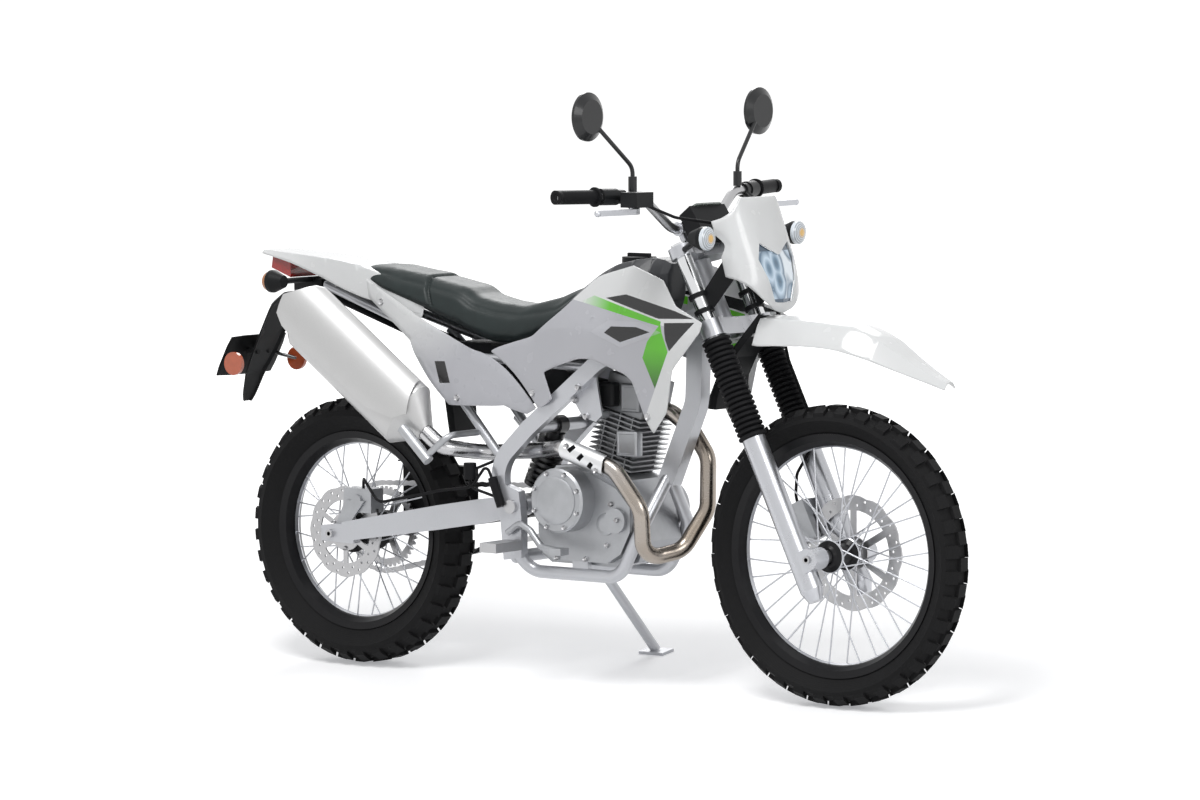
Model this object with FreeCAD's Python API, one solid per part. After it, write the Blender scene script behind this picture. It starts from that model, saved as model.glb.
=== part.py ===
import FreeCAD, Part
import math
import os

# Dual sport motorcycle, modelled upright and then leaned onto its side stand.
# Millimetres. X points forward, Y to the rider's left, Z up.
# The origin is midway along and across the leaning machine, on the floor.

# Driving sizes of the whole machine
WHEELBASE = 1380.0
FRONT_CENTRE = 837.0
PIVOT_HEIGHT = 414.0
LEAN_ANGLE = 8.0
FULL_TURN = 360.0
RAKE_ANGLE = 25.7
RUNNING_GAP = 0.3
CUT_OVERRUN = 5.0
PANEL_WALL = 3.5

# Front wheel
FRONT_TYRE_RADIUS = 341.0
FRONT_TYRE_WIDTH = 84.0
FRONT_RIM_RADIUS = 268.0
FRONT_RIM_WIDTH = 52.0
FRONT_HUB_RADIUS = 26.0
FRONT_FLANGE_RADIUS = 38.0
FRONT_HUB_WIDTH = 92.0
FRONT_DISC_RADIUS = 132.5
FRONT_DISC_INNER_RADIUS = 98.0
FRONT_DISC_SIDE = 60.0
FRONT_AXLE_RADIUS = 9.0
AXLE_BORE_RADIUS = 5.0

# Rear wheel
REAR_TYRE_RADIUS = 320.0
REAR_TYRE_WIDTH = 112.0
REAR_RIM_RADIUS = 230.0
REAR_RIM_WIDTH = 66.0
REAR_HUB_RADIUS = 34.0
REAR_FLANGE_RADIUS = 52.0
REAR_HUB_WIDTH = 110.0
REAR_DISC_RADIUS = 110.0
REAR_DISC_INNER_RADIUS = 76.0
REAR_DISC_SIDE = 66.0
REAR_AXLE_RADIUS = 10.0
SPROCKET_RADIUS = 112.0
SPROCKET_THICKNESS = 6.0

# What both wheels share
LUG_COUNT = 36
LUG_HEIGHT = 10.0
EDGE_LUG_SHARE = 0.9
# sides and drops of the tread's columns, in shares of half the width and of the height
TREAD_SIDE_SHARE = 0.93
GAP_SHARE = 0.5
CROWN_SHARE = 0.36
TREAD_DROP_SHARES = (0.78, 0.955, 0.985, 0.985, 0.955, 0.78)
BULGE_RISE_SHARE = 0.52
RIM_WALL = 3.5
RIM_DEPTH = 24.0
RIM_LIP_SHARE = 0.35
SPOKE_COUNT = 36
SPOKE_RADIUS = 1.8
FLANGE_THICKNESS = 5.0
DISC_THICKNESS = 4.0
DISC_WAVE_COUNT = 12
WAVE_SHARES = (0.0, 0.3, 1.0, 0.3)
WAVE_DEPTH_SHARE = 0.035
DISC_FACET_COUNT = 36
DISC_HOLE_COUNT = 36
DISC_HOLE_RADIUS = 3.6
DISC_HOLE_SHARES = (0.32, 0.66)
BEARING_RADIUS = 16.0
SIDE_CLEARANCE = 1.0

# Fork, measured square to and along its legs
LEG_SPACING = 194.0
AXLE_LEAD = 34.0
STEM_SETBACK = 33.0
LEG_RADIUS = 27.0
LEG_FOOT_DROP = 62.0
LEG_LENGTH = 369.0
BOOT_RADIUS = 33.0
BOOT_ROOT_RADIUS = 27.0
BOOT_LENGTH = 245.0
BOOT_RIB_COUNT = 20
FORK_TUBE_RADIUS = 18.5
FORK_TUBE_PROUD = 7.0
LOWER_CLAMP_HEIGHT = 575.0
UPPER_CLAMP_HEIGHT = 767.0
LOWER_CLAMP_THICKNESS = 40.0
UPPER_CLAMP_THICKNESS = 26.0
CLAMP_WALL = 10.0
STEM_RADIUS = 17.0
AXLE_LUG_RADIUS = 25.0
HEAD_TUBE_RADIUS = 27.0

# Handlebar and what sits on it
BAR_RADIUS = 11.1
BAR_WIDTH = 845.0
BAR_CLAMP_WIDTH = 90.0
BAR_RISER_HEIGHT = 50.0
BAR_RISE = 82.0
BAR_SWEEP = 70.0
BAR_BEND = 60.0
BAR_STRAIGHT = 245.0
BAR_WALL = 2.5
GRIP_RADIUS = 16.0
GRIP_LENGTH = 118.0
CONTROL_INSET = 170.5
CONTROL_LENGTH = 46.0
CONTROL_RADIUS = 19.0
RESERVOIR_LENGTH = 62.0
RESERVOIR_WIDTH = 46.0
RESERVOIR_HEIGHT = 34.0
LEVER_LENGTH = 150.0
LEVER_WIDTH = 13.0
LEVER_REACH = 48.0
LEVER_DROP = 32.0
RESERVOIR_AHEAD = 14.0
RESERVOIR_INSET = 20.0
RESERVOIR_LIFT = 27.0
MIRROR_SPREAD = 127.0
MIRROR_HEIGHT = 170.0
MIRROR_RADIUS = 55.0
MIRROR_DEPTH = 18.0
MIRROR_STEM_RADIUS = 5.0
MIRROR_INSET = 219.5

# Front fender, high above the wheel, from the lower clamp
FENDER_START = 92.0
FENDER_LENGTH = 488.0
FENDER_HALF_WIDTH = 86.0
FENDER_DROP = 115.0
FENDER_HEIGHT = 148.0
FENDER_MOUNT_GAP = 0.3

# Headlamp cowl, from the lower clamp
COWL_START = 20.0
COWL_DEPTH = 115.0
COWL_LIFT = 37.0
COWL_HEIGHT = 262.0
COWL_HALF_WIDTH = 112.0
COWL_WALL = 4.0
LAMP_GAP = 1.0
LAMP_FACE_REACH_SHARE = 0.92
LAMP_BACK_REACH_SHARE = 0.3
LAMP_BACK_SHARE = 0.6
LAMP_MIDDLE_SHARE = 0.32
LENS_THICKNESS = 6.0
LENS_RECESS = 5.0
COWL_BRACKET_WALL = 5.0
COWL_BRACKET_REACH_SHARE = 0.34
SIGNAL_SIDE = 178.0
SIGNAL_RADIUS = 27.0
SIGNAL_DEPTH = 46.0
SIGNAL_STALK_RADIUS = 7.0
SIGNAL_ALONG = 135.0
SIGNAL_HEIGHT = 168.0

# Frame
HEAD_LOWER_GAP = 7.0
HEAD_UPPER_GAP = 4.0
SPAR_SIDE = 108.0
SPAR_HEAD_SIDE = 30.0
SPAR_DEPTH = 38.0
SPAR_WIDTH = 24.0
SPAR_BEND = 90.0
CRADLE_RADIUS = 15.0
CRADLE_SIDE = 92.0
CRADLE_BEND = 55.0
DOWN_TUBE_DEPTH = 44.0
DOWN_TUBE_WIDTH = 36.0
SUBFRAME_RADIUS = 11.0
SUBFRAME_SIDE = 84.5
SUBFRAME_BEND = 60.0
PIVOT_BOSS_RADIUS = 26.0
PIVOT_BORE_RADIUS = 8.0

# Swingarm
ARM_SIDE = 110.0
ARM_WIDTH = 26.0
ARM_DEPTH = 58.0
ARM_TAIL_LENGTH = 62.0
ARM_TAIL_DEPTH = 46.0
ARM_BRIDGE_LENGTH = 60.0
ARM_BRIDGE_REACH = 120.0
ARM_PIVOT_RADIUS = 24.0

# Engine
CASE_HALF_WIDTH = 98.0
CASE_LENGTH = 330.0
CASE_HEIGHT = 235.0
CASE_SETFORWARD = 42.0
CASE_DROP = 128.0
CLUTCH_COVER_RADIUS = 75.0
CLUTCH_COVER_SIDE = 150.0
CLUTCH_FORWARD = 152.0
CLUTCH_HEIGHT = 24.0
FILTER_COVER_RADIUS = 29.0
FILTER_FORWARD = 289.0
FILTER_DROP = 18.0
COVER_THICKNESS = 26.0
CYLINDER_ANGLE = 14.0
CYLINDER_WIDTH = 124.0
CYLINDER_DEPTH = 130.0
CYLINDER_HEIGHT = 130.0
CYLINDER_FORWARD = 238.0
CYLINDER_LIFT = 100.0
FIN_COUNT = 11
FIN_THICKNESS = 3.0
FIN_DEPTH = 16.0
HEAD_COVER_HEIGHT = 84.0
HEAD_COVER_WIDTH = 104.0
HEAD_COVER_DEPTH = 112.0

# Intake
AIRBOX_LENGTH = 215.0
AIRBOX_HALF_WIDTH = 88.0
AIRBOX_HEIGHT = 136.0
AIRBOX_SETBACK = 205.0
AIRBOX_LIFT = 236.0
INTAKE_RADIUS = 24.0
CARBURETTOR_RADIUS = 33.0
CARBURETTOR_LENGTH = 74.0

# Exhaust
PIPE_RADIUS = 19.0
PIPE_BEND = 58.0
SHIELD_WALL = 2.0
SHIELD_STANDOFF = 5.0
MUFFLER_RADIUS = 54.0
MUFFLER_HALF_HEIGHT = 84.0
MUFFLER_CAP_LENGTH = 26.0
MUFFLER_CAP_SHARE = 0.78
MUFFLER_NOSE_LENGTH = 64.0
MUFFLER_LENGTH = 395.0
MUFFLER_SIDE = 158.0
MUFFLER_REAR_SETBACK = 595.0
MUFFLER_REAR_LIFT = 436.0
MUFFLER_ANGLE = 36.0
MUFFLER_COVER_WALL = 3.0
MUFFLER_COVER_GAP = 4.0

# Body panels, each outline in shares of its own box in the side view
SHROUD_SETBACK = 60.0
SHROUD_LIFT = 193.0
SHROUD_LENGTH = 655.0
SHROUD_HEIGHT = 378.0
SHROUD_HALF_WIDTH = 172.0
SHROUD_SHARES = ((0.0, 0.44), (0.03, 0.47), (0.19, 0.54), (0.34, 0.72), (0.49, 0.93), (0.64, 1.0),
                 (0.79, 0.92), (0.86, 0.77), (0.98, 0.68), (0.97, 0.62), (0.85, 0.39), (0.82, 0.13), (0.76,
                                                                                                      0.0),
                 (0.73, 0.06), (0.69, 0.23), (0.67, 0.31), (0.64, 0.35), (0.54, 0.4), (0.49, 0.43),
                 (0.43, 0.43), (0.31, 0.37), (0.25, 0.33), (0.29, 0.17), (0.25, 0.12), (0.22, 0.11),
                 (0.11, 0.33))
# along, then half widths at the bottom, the crease and the top
SHROUD_FORM_SHARES = ((-0.02, 0.70, 0.70, 0.68), (0.2, 0.74, 0.75, 0.68), (0.4, 0.82, 0.88, 0.66),
                      (0.62, 0.88, 0.98, 0.7), (0.8, 0.92, 1.0, 0.8), (1.02, 0.95, 1.0, 0.95))
SHROUD_LEVEL_SHARES = (-0.05, 0.6, 1.05)

SIDE_COVER_SETBACK = 455.0
SIDE_COVER_LIFT = 217.0
SIDE_COVER_LENGTH = 538.0
SIDE_COVER_HEIGHT = 298.0
SIDE_COVER_HALF_WIDTH = 128.0
SIDE_COVER_SHARES = ((0.0, 1.0), (0.32, 0.72), (0.65, 0.48), (0.72, 0.46), (0.85, 0.32), (0.98, 0.05),
                     (0.93, 0.0), (0.85, 0.03), (0.81, 0.06), (0.76, 0.05), (0.51, 0.04), (0.39, 0.23),
                     (0.31, 0.42), (0.28, 0.53), (0.02, 0.85))
SIDE_COVER_FORM_SHARES = ((-0.02, 0.8, 0.78, 0.72), (0.3, 0.94, 0.92, 0.8), (0.6, 1.0, 1.0, 0.88),
                          (1.02, 0.92, 0.93, 0.88))
SIDE_COVER_LEVEL_SHARES = (-0.05, 0.5, 1.05)

SEAT_SETBACK = 523.0
SEAT_LIFT = 363.0
SEAT_LENGTH = 770.0
SEAT_HEIGHT = 182.0
SEAT_HALF_WIDTH = 98.0
# along, bottom, top, half width
SEAT_FORM_SHARES = ((0.0, 0.86, 0.93, 0.6), (0.06, 0.78, 0.99, 0.86), (0.14, 0.66, 0.98, 0.98),
                    (0.3, 0.44, 0.86, 1.0), (0.44, 0.24, 0.75, 1.0), (0.48, 0.16, 0.64, 0.98),
                    (0.56, 0.06, 0.57, 0.95), (0.66, 0.06, 0.53, 0.86), (0.78, 0.24, 0.66, 0.76),
                    (0.9, 0.56, 0.88, 0.68), (1.0, 0.88, 0.99, 0.6))

TAIL_SETBACK = 811.0
TAIL_LIFT = 436.0
TAIL_LENGTH = 522.0
TAIL_HEIGHT = 136.0
TAIL_HALF_WIDTH = 88.0
TAIL_POST_SETBACK = 583.0
TAIL_POST_SIDE = 45.0
TAIL_POST_LIFT = 481.0
TAIL_POST_HEIGHT = 72.0
# along, bottom edge, top edge, half width
TAIL_FORM_SHARES = ((0.0, 0.96, 1.0, 0.62), (0.19, 0.84, 0.96, 0.78), (0.41, 0.58, 0.9, 0.92),
                    (0.6, 0.3, 0.82, 0.98), (0.75, 0.2, 0.66, 1.0), (1.0, -0.06, 0.3, 1.0))

TANK_FORWARD = 97.0
TANK_LIFT = 356.0
TANK_LENGTH = 292.0
TANK_HEIGHT = 231.0
TANK_HALF_WIDTH = 112.0
# along, bottom, top, half width
TANK_FORM_SHARES = ((0.0, 0.0, 0.46, 0.86), (0.28, 0.0, 0.72, 1.0), (0.5, 0.12, 0.9, 1.0),
                    (0.72, 0.26, 0.97, 0.94), (0.87, 0.36, 0.99, 0.64), (0.94, 0.46, 0.97, 0.44),
                    (1.0, 0.56, 0.93, 0.32))
CAP_RADIUS = 40.0
CAP_HEIGHT = 28.0
CAP_FORWARD = 282.0
CAP_LIFT = 556.0

FLAP_SETBACK = 914.0
FLAP_LIFT = 201.0
FLAP_LENGTH = 330.0
FLAP_HEIGHT = 279.5
FLAP_HALF_WIDTH = 50.0
FLAP_WALL = 5.0
# along, height, half width
FLAP_FORM_SHARES = ((0.0, 0.0, 0.24), (0.02, 0.065, 0.46), (0.075, 0.258, 0.68), (0.16, 0.431, 0.86),
                    (0.245, 0.603, 0.94), (0.345, 0.8615, 0.86), (0.47, 0.965, 0.9), (0.67, 0.996, 1.0),
                    (0.86, 1.0, 1.0))
TRAY_SETBACK = 718.0
TRAY_LENGTH = 87.0
TRAY_HALF_WIDTH = 46.0
TRAY_HEIGHT = 31.0
TRAY_LIFT = 476.0
PLATE_HALF_WIDTH = 105.0
PLATE_THICKNESS = 3.0
PLATE_LENGTH = 112.0
PLATE_SETBACK = 893.0
PLATE_LIFT = 257.0
PLATE_STAY_LENGTH = 36.0
PLATE_ANGLE = 62.0
REFLECTOR_RADIUS = 28.0
REFLECTOR_THICKNESS = 9.0
REFLECTOR_SIDE = 122.0
REFLECTOR_SETBACK = 848.0
REFLECTOR_LIFT = 299.0
TAIL_LAMP_HALF_WIDTH = 52.0
TAIL_LAMP_LENGTH = 60.0
TAIL_LAMP_HEIGHT = 36.0
TAIL_LAMP_SETBACK = 783.0
TAIL_LAMP_LIFT = 529.7
REAR_SIGNAL_SIDE = 170.0
REAR_SIGNAL_SETBACK = 690.0
REAR_SIGNAL_LIFT = 505.0
MUDGUARD_SETBACK = 633.0
MUDGUARD_LIFT = 146.0
MUDGUARD_LENGTH = 408.0
MUDGUARD_HEIGHT = 336.0
MUDGUARD_HALF_WIDTH = 60.0
MUDGUARD_WALL = 4.0
# along, height, half width
MUDGUARD_FORM_SHARES = ((0.0, 1.0, 0.8), (0.5, 0.81, 0.95), (0.93, 0.642, 1.0), (0.985, 0.56, 1.0),
                        (0.97, 0.3, 0.95),
                        (1.0, 0.0, 0.85))

# Foot controls and stand
PEG_LENGTH = 100.0
PEG_WIDTH = 48.0
PEG_HEIGHT = 22.0
PEG_FORWARD = 22.0
PEG_DROP = 86.0
PEG_SIDE = 138.0
PILLION_PEG_LENGTH = 95.0
PILLION_PEG_RADIUS = 13.0
PILLION_PEG_SETBACK = 176.0
PILLION_PEG_LIFT = 114.0
PILLION_PEG_SIDE = 219.0
PILLION_ROOT_SETBACK = 118.0
PILLION_ROOT_LIFT = 166.0
PEDAL_RADIUS = 8.0
STAND_RADIUS = 12.0
STAND_EYE_HALF_WIDTH = 14.0
STAND_PIVOT_FORWARD = 20.0
STAND_PIVOT_HEIGHT = 290.0
STAND_PIVOT_SIDE = 152.0
STAND_FOOT_FORWARD = 95.0
STAND_FOOT_SIDE = 292.0
STAND_FOOT_LENGTH = 70.0
STAND_FOOT_WIDTH = 46.0
STAND_FOOT_THICKNESS = 7.0
STAND_PIN_RADIUS = 6.0
STAND_STOW_SPREAD_SHARE = 0.12
STAND_STOW_RISE_SHARE = 0.05

# Chain
CHAIN_SIDE = 84.0
CHAIN_WIDTH = 18.0
CHAIN_DEPTH = 14.0
FRONT_SPROCKET_RADIUS = 36.0
FRONT_SPROCKET_FORWARD = 92.0
FRONT_SPROCKET_DROP = 6.0
CHAIN_CLEARANCE = 1.5
LINK_COUNT = 76
LINK_WAIST_SHARE = 0.16
REAR_TOOTH_COUNT = 42
FRONT_TOOTH_COUNT = 14
TOOTH_DEPTH = 8.0
SPROCKET_WINDOW_COUNT = 6
CALIPER_LENGTH = 84.0
CALIPER_WIDTH = 46.0
CALIPER_HEIGHT = 58.0
CARRIER_THICKNESS = 6.0

# Places worked out from the driving sizes
PIVOT_X = WHEELBASE - FRONT_CENTRE
SIN_RAKE = math.sin(math.radians(RAKE_ANGLE))
COS_RAKE = math.cos(math.radians(RAKE_ANGLE))
HEAD_TUBE_BOTTOM = LOWER_CLAMP_HEIGHT + LOWER_CLAMP_THICKNESS / 2 + HEAD_LOWER_GAP
HEAD_TUBE_TOP = UPPER_CLAMP_HEIGHT - UPPER_CLAMP_THICKNESS / 2 - HEAD_UPPER_GAP
FORK_TUBE_TOP = UPPER_CLAMP_HEIGHT + UPPER_CLAMP_THICKNESS / 2 + FORK_TUBE_PROUD
CONTROL_SIDE = BAR_WIDTH / 2 - CONTROL_INSET
MIRROR_BASE_SIDE = BAR_WIDTH / 2 - MIRROR_INSET
MIRROR_SIDE = MIRROR_BASE_SIDE + MIRROR_SPREAD
# along, top height, edge height, half width
FENDER_FORM_SHARES = ((0.0, 1.0, 0.56, 0.84), (0.14, 1.0, 0.58, 0.93), (0.3, 0.98, 0.6, 0.99),
                      (0.5, 0.95, 0.57, 1.0), (0.66, 0.76, 0.42, 0.88), (0.8, 0.44, 0.25, 0.66),
                      (0.93, 0.2, 0.1, 0.44), (1.0, 0.1, 0.0, 0.26))
FENDER_CREST_SHARE = 0.55
# front face of the cowl: height, reach ahead
COWL_FACE_SHARES = ((0.0, 0.94), (0.06, 1.0), (0.27, 0.99), (0.46, 0.88), (0.55, 0.81), (0.74, 0.66),
                    (1.0, 0.43))
# section from the middle to the side: share of the half width, share of the depth set back
COWL_ROUND_SHARES = ((0.0, 0.0), (0.5, 0.05), (0.72, 0.14), (0.86, 0.27), (0.95, 0.45), (1.0, 0.7))
# outline seen from ahead, right half from the bottom up: side, height
COWL_FRONT_SHARES = ((0.0, 0.0), (0.3, 0.03), (0.64, 0.14), (1.01, 0.34), (0.93, 0.6), (1.01, 0.77),
                     (0.6, 1.0))
LENS_FRONT_SHARES = ((0.0, 0.5), (0.48, 0.61), (0.6, 0.47), (0.29, 0.1), (0.0, 0.09))
# side view places on the frame, measured from the swingarm pivot: ahead, above
ENGINE_LUG_AHEAD = 180.0
ENGINE_LUG_LENGTH = 44.0
SPAR_FOOT_AHEAD = -6.0
SPAR_FOOT_ABOVE = -60.0
SPAR_BACK_AHEAD = -52.0
SPAR_BACK_ABOVE = 92.0
SPAR_KNEE_AHEAD = 46.0
SPAR_KNEE_ABOVE = 185.0
SPAR_SHOULDER_AHEAD = 250.0
SPAR_SHOULDER_ABOVE = 348.0
CRADLE_REAR_AHEAD = 2.0
CRADLE_REAR_ABOVE = -118.0
CRADLE_LOW_AHEAD = 40.0
CRADLE_LOW_ABOVE = -150.0
CRADLE_FRONT_AHEAD = 294.0
CRADLE_FRONT_ABOVE = -150.0
CRADLE_TOP_AHEAD = 354.0
CRADLE_TOP_ABOVE = -36.0
DOWN_TUBE_FOOT_AHEAD = 368.0
DOWN_TUBE_FOOT_ABOVE = 70.0
SUBFRAME_FRONT_AHEAD = 215.0
SUBFRAME_FRONT_ABOVE = 330.0
SUBFRAME_MID_AHEAD = -130.0
SUBFRAME_MID_ABOVE = 340.0
SUBFRAME_TAIL_AHEAD = -618.0
SUBFRAME_TAIL_ABOVE = 492.0
SUBFRAME_STRUT_AHEAD = -57.0
SUBFRAME_STRUT_ABOVE = 108.0
SUBFRAME_JOIN_AHEAD = -330.0
SUBFRAME_JOIN_ABOVE = 392.0
# share of the way from axle to pivot, side, width, depth
ARM_FORM_SHARES = ((0.06, 1.0, 1.0, 0.8), (0.2, 1.0, 1.0, 0.86), (0.6, 1.0, 1.0, 1.0), (0.82, 0.8, 1.0, 1.0),
                   (0.93, 0.68, 1.0, 0.84), (1.0, 0.68, 1.0, 0.8))
SHOCK_FOOT_AHEAD = -38.0
SHOCK_FOOT_ABOVE = -22.0
SHOCK_RADIUS = 22.0
SPRING_RADIUS = 36.0
SPRING_TURN_COUNT = 7
SPRING_WIRE_SHARE = 0.5
SHOCK_EYE_RADIUS = 15.0
# ahead and above in shares of the case's box
CASE_SHARES = ((0.0, 0.3), (0.03, 0.08), (0.12, 0.0), (0.72, 0.0), (0.88, 0.06), (0.93, 0.26), (0.86, 0.62),
               (0.82, 0.86), (0.56, 1.0), (0.16, 0.96), (0.02, 0.7))
SIDE_CASE_FLOOR_SHARE = 0.04
SIDE_CASE_SHARES = ((0.06, 0.3), (0.1, 0.1), (0.2, SIDE_CASE_FLOOR_SHARE), (0.66, SIDE_CASE_FLOOR_SHARE),
                    (0.78, 0.14), (0.86, 0.36), (0.86, 0.6),
                    (0.74, 0.78), (0.5, 0.92), (0.2, 0.92), (0.06, 0.66))
# Exhaust route in the order ahead, side and above the swingarm pivot
PIPE_ROUTE_SHARES = ((1.0, 0.34, 0.53), (1.12, 0.30, 0.36), (1.14, 0.2, 0.02), (1.06, -0.2, -0.24),
                     (0.94, -0.84, -0.29), (0.96, -0.98, 0.04), (0.78, -1.02, 0.30), (0.42, -1.02, 0.42),
                     (0.2, -0.6, 0.38), (-0.1, -0.36, 0.35), (-0.3, -0.38, 0.33))
PIPE_REACH = 400.0
PIPE_SIDE = 135.0
PIPE_RISE = 350.0
PORT_SIDE = 26.0
SHIELD_FROM_SHARE = 0.12
SHIELD_TO_SHARE = 0.98
SHIELD_POST_SHARES = (0.28, 0.82)
MUFFLER_COVER_SETBACK = 628.0
MUFFLER_COVER_LIFT = 200.0
MUFFLER_COVER_LENGTH = 400.0
MUFFLER_COVER_HEIGHT = 300.0
MUFFLER_POST_SHARES = (0.2, 0.62)
MUFFLER_COVER_SHARES = ((0.05, 0.93), (0.22, 1.0), (0.36, 0.94), (0.5, 0.9), (0.98, 0.3), (0.98, 0.04),
                        (0.88, 0.0),
                        (0.68, 0.07), (0.59, 0.14), (0.44, 0.29), (0.18, 0.49), (0.03, 0.68), (0.0, 0.78))
# ahead of the pivot, outer end from the middle, above the pivot
SHROUD_POSTS = ((262.0, 152.0, 446.0), (157.0, 141.0, 394.0))
SIDE_COVER_POSTS = ((-150.0, 125.0, 346.0), (-243.0, 119.0, 375.0))
POST_RADIUS = 7.0
GUARD_START_SHARE = 0.08
GUARD_END_SHARE = 0.5
GUARD_RISE = 112.0
GUARD_HEIGHT = 26.0
GUARD_WALL = 3.0
# ahead, side and above the pivot, in shares of the pedal's box
PEDAL_SHARES = ((0.0, 0.0, 0.0), (0.22, 0.15, 0.5), (0.4, 0.3, 0.2), (0.62, 0.6, -0.5), (1.0, 1.0, -0.6))
PEDAL_LENGTH = 190.0
PEDAL_SPREAD = 42.0
PEDAL_RISE = 50.0
PEDAL_DROP = 60.0
GEAR_SHARES = ((0.0, 0.0, 0.0), (0.0, 0.8, 0.0), (0.5, 1.0, 0.1), (1.0, 1.0, 0.2))
GEAR_FORWARD = 130.0
GEAR_DROP = 82.0
GEAR_LENGTH = 110.0
GEAR_SPREAD = 40.0

# Hanger plates, hoses and the inner guard
# places of the engine's hanger plates from the pivot: ahead, above
HANGER_PLACES = ((226.0, 326.0), (154.0, 268.0), (190.0, 216.0), (228.0, 206.0), (246.0, 222.0), (238.0, 262.0))
HANGER_WALL = 6.0
HANGER_BOSS_AHEAD = 232.0
HANGER_BOSS_ABOVE = 222.0
HANGER_BOSS_RADIUS = 9.0
RIB_SHARES = (-0.28, 0.02, 0.3)
HOSE_RADIUS = 3.5
HOSE_BEND = 40.0
# from the bar's middle: ahead, side, rise
FRONT_HOSE_TOP = ((78.0, -170.0, 32.0), (108.0, -60.0, 16.0), (106.0, 56.0, 10.0))
# ahead of the left tube, share of its side, height along the fork
FRONT_HOSE_RUN = ((66.0, 0.866, 730.0), (62.0, 0.866, 560.0), (44.0, 0.866, 470.0), (44.0, 0.866, 340.0),
                  (36.0, 0.62, 262.0), (-30.0, 0.6, 222.0), (-60.0, 0.66, 176.0), (-60.0, 0.66, 140.0))
# from the lower clamp: ahead, drop, half width
GUARD_PLACES = ((100.0, -30.0, 40.0), (60.0, 23.0, 52.0), (25.0, 65.0, 56.0), (0.0, 110.0, 60.0),
                (-12.0, 155.0, 72.0), (-20.0, 185.0, 68.0))
PUMP_RADIUS = 11.0
PUMP_SETBACK = 22.0
PUMP_LEAN = 26.0
PUMP_LENGTH = 66.0
PUMP_BOX_SETBACK = 114.0
PUMP_BOX_LIFT = 78.0
PUMP_BOX_HEIGHT = 38.0
PUMP_BOX_RADIUS = 15.0
REAR_HOSE_RUN = ((62.0, 1.0, 96.0), (110.0, 0.0, 40.0), (200.0, -0.6, 28.0), (393.0, -0.6, -12.0))
REAR_HOSE_END = ((98.0, 112.0, 128.0), (62.0, 76.0, 132.0), (62.0, 76.0, 96.0))


def at(x, y, z):
    return FreeCAD.Vector(x, y, z)


ALONG = at(1, 0, 0)
ACROSS = at(0, 1, 0)
ORIGIN = at(0, 0, 0)
REAR_AXLE = at(0, 0, REAR_TYRE_RADIUS)
FRONT_AXLE = at(WHEELBASE, 0, FRONT_TYRE_RADIUS)
PIVOT = at(PIVOT_X, 0, PIVOT_HEIGHT)


def fork_point(ahead, side, height):
    """A place given square to the fork legs, to the left, and up along the legs from the axle's level."""
    foot_x = WHEELBASE - AXLE_LEAD * COS_RAKE
    foot_z = FRONT_TYRE_RADIUS - AXLE_LEAD * SIN_RAKE
    return at(foot_x + ahead * COS_RAKE - height * SIN_RAKE, side,
              foot_z + ahead * SIN_RAKE + height * COS_RAKE)


FORK_UP = at(-SIN_RAKE, 0, COS_RAKE)
FORK_AHEAD = at(COS_RAKE, 0, SIN_RAKE)
LOWER_CLAMP = fork_point(0, 0, LOWER_CLAMP_HEIGHT)


def mirrored(shape):
    return shape.mirror(ORIGIN, ACROSS)


def both_sides(shape):
    return Part.makeCompound([shape, mirrored(shape)])


def fused(shapes):
    first = shapes[0]
    if len(shapes) == 1:
        return first
    return first.fuse(shapes[1:]).removeSplitter()


def rod(start, end, radius):
    run = end - start
    return Part.makeCylinder(radius, run.Length, start, run)


def hollow_rod(start, end, radius, bore):
    reach = (end - start).normalize() * CUT_OVERRUN
    return rod(start, end, radius).cut(rod(start - reach, end + reach, bore))


def cone(start, end, start_radius, end_radius):
    run = end - start
    return Part.makeCone(start_radius, end_radius, run.Length, start, run)


def block(centre, length, width, height):
    corner = centre - at(length / 2, width / 2, height / 2)
    return Part.makeBox(length, width, height, corner)


def closed_wire(points):
    return Part.makePolygon(list(points) + [points[0]])


def prism(points, run):
    """A flat closed outline pushed along a vector."""
    return Part.Face(closed_wire(points)).extrude(run)


def side_outline(corner, length, height, shares, side=0.0):
    """Points of a side view outline given in shares of its box."""
    return [corner + at(a * length, side, b * height) for a, b in shares]


def turned(profile, centre, axis):
    """A closed outline spun round an axis through a centre."""
    return Part.Face(closed_wire(profile)).revolve(centre, axis, 360)


def ring_profile(centre, pairs):
    """Points of a section of a wheel part, from pairs of radius and side."""
    return [centre + at(0, side, radius) for radius, side in pairs]


def spun(centre, pairs):
    return turned(ring_profile(centre, pairs), centre, ACROSS)


def bent_path(points, bend):
    """Straight runs joined by tangent arcs."""
    edges = []
    start = points[0]
    for before, corner, after in zip(points, points[1:], points[2:]):
        arriving = (corner - before).normalize()
        leaving = (after - corner).normalize()
        half_turn = arriving.getAngle(leaving) / 2
        room = 0.45 * min((corner - before).Length, (after - corner).Length)
        radius = min(bend, room / math.tan(half_turn))
        setback = radius * math.tan(half_turn)
        inward = (leaving - arriving).normalize()
        first = corner - arriving * setback
        last = corner + leaving * setback
        middle = corner + inward * (radius / math.cos(half_turn) - radius)
        edges.append(Part.LineSegment(start, first).toShape())
        edges.append(Part.Arc(first, middle, last).toShape())
        start = last
    edges.append(Part.LineSegment(start, points[-1]).toShape())
    return Part.Wire(edges)


def bent_tube(points, radius, bend):
    path = bent_path(points, bend)
    ring = Part.Wire(Part.makeCircle(radius, points[0], points[1] - points[0]))
    return path.makePipeShell([ring], True, False)


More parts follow.
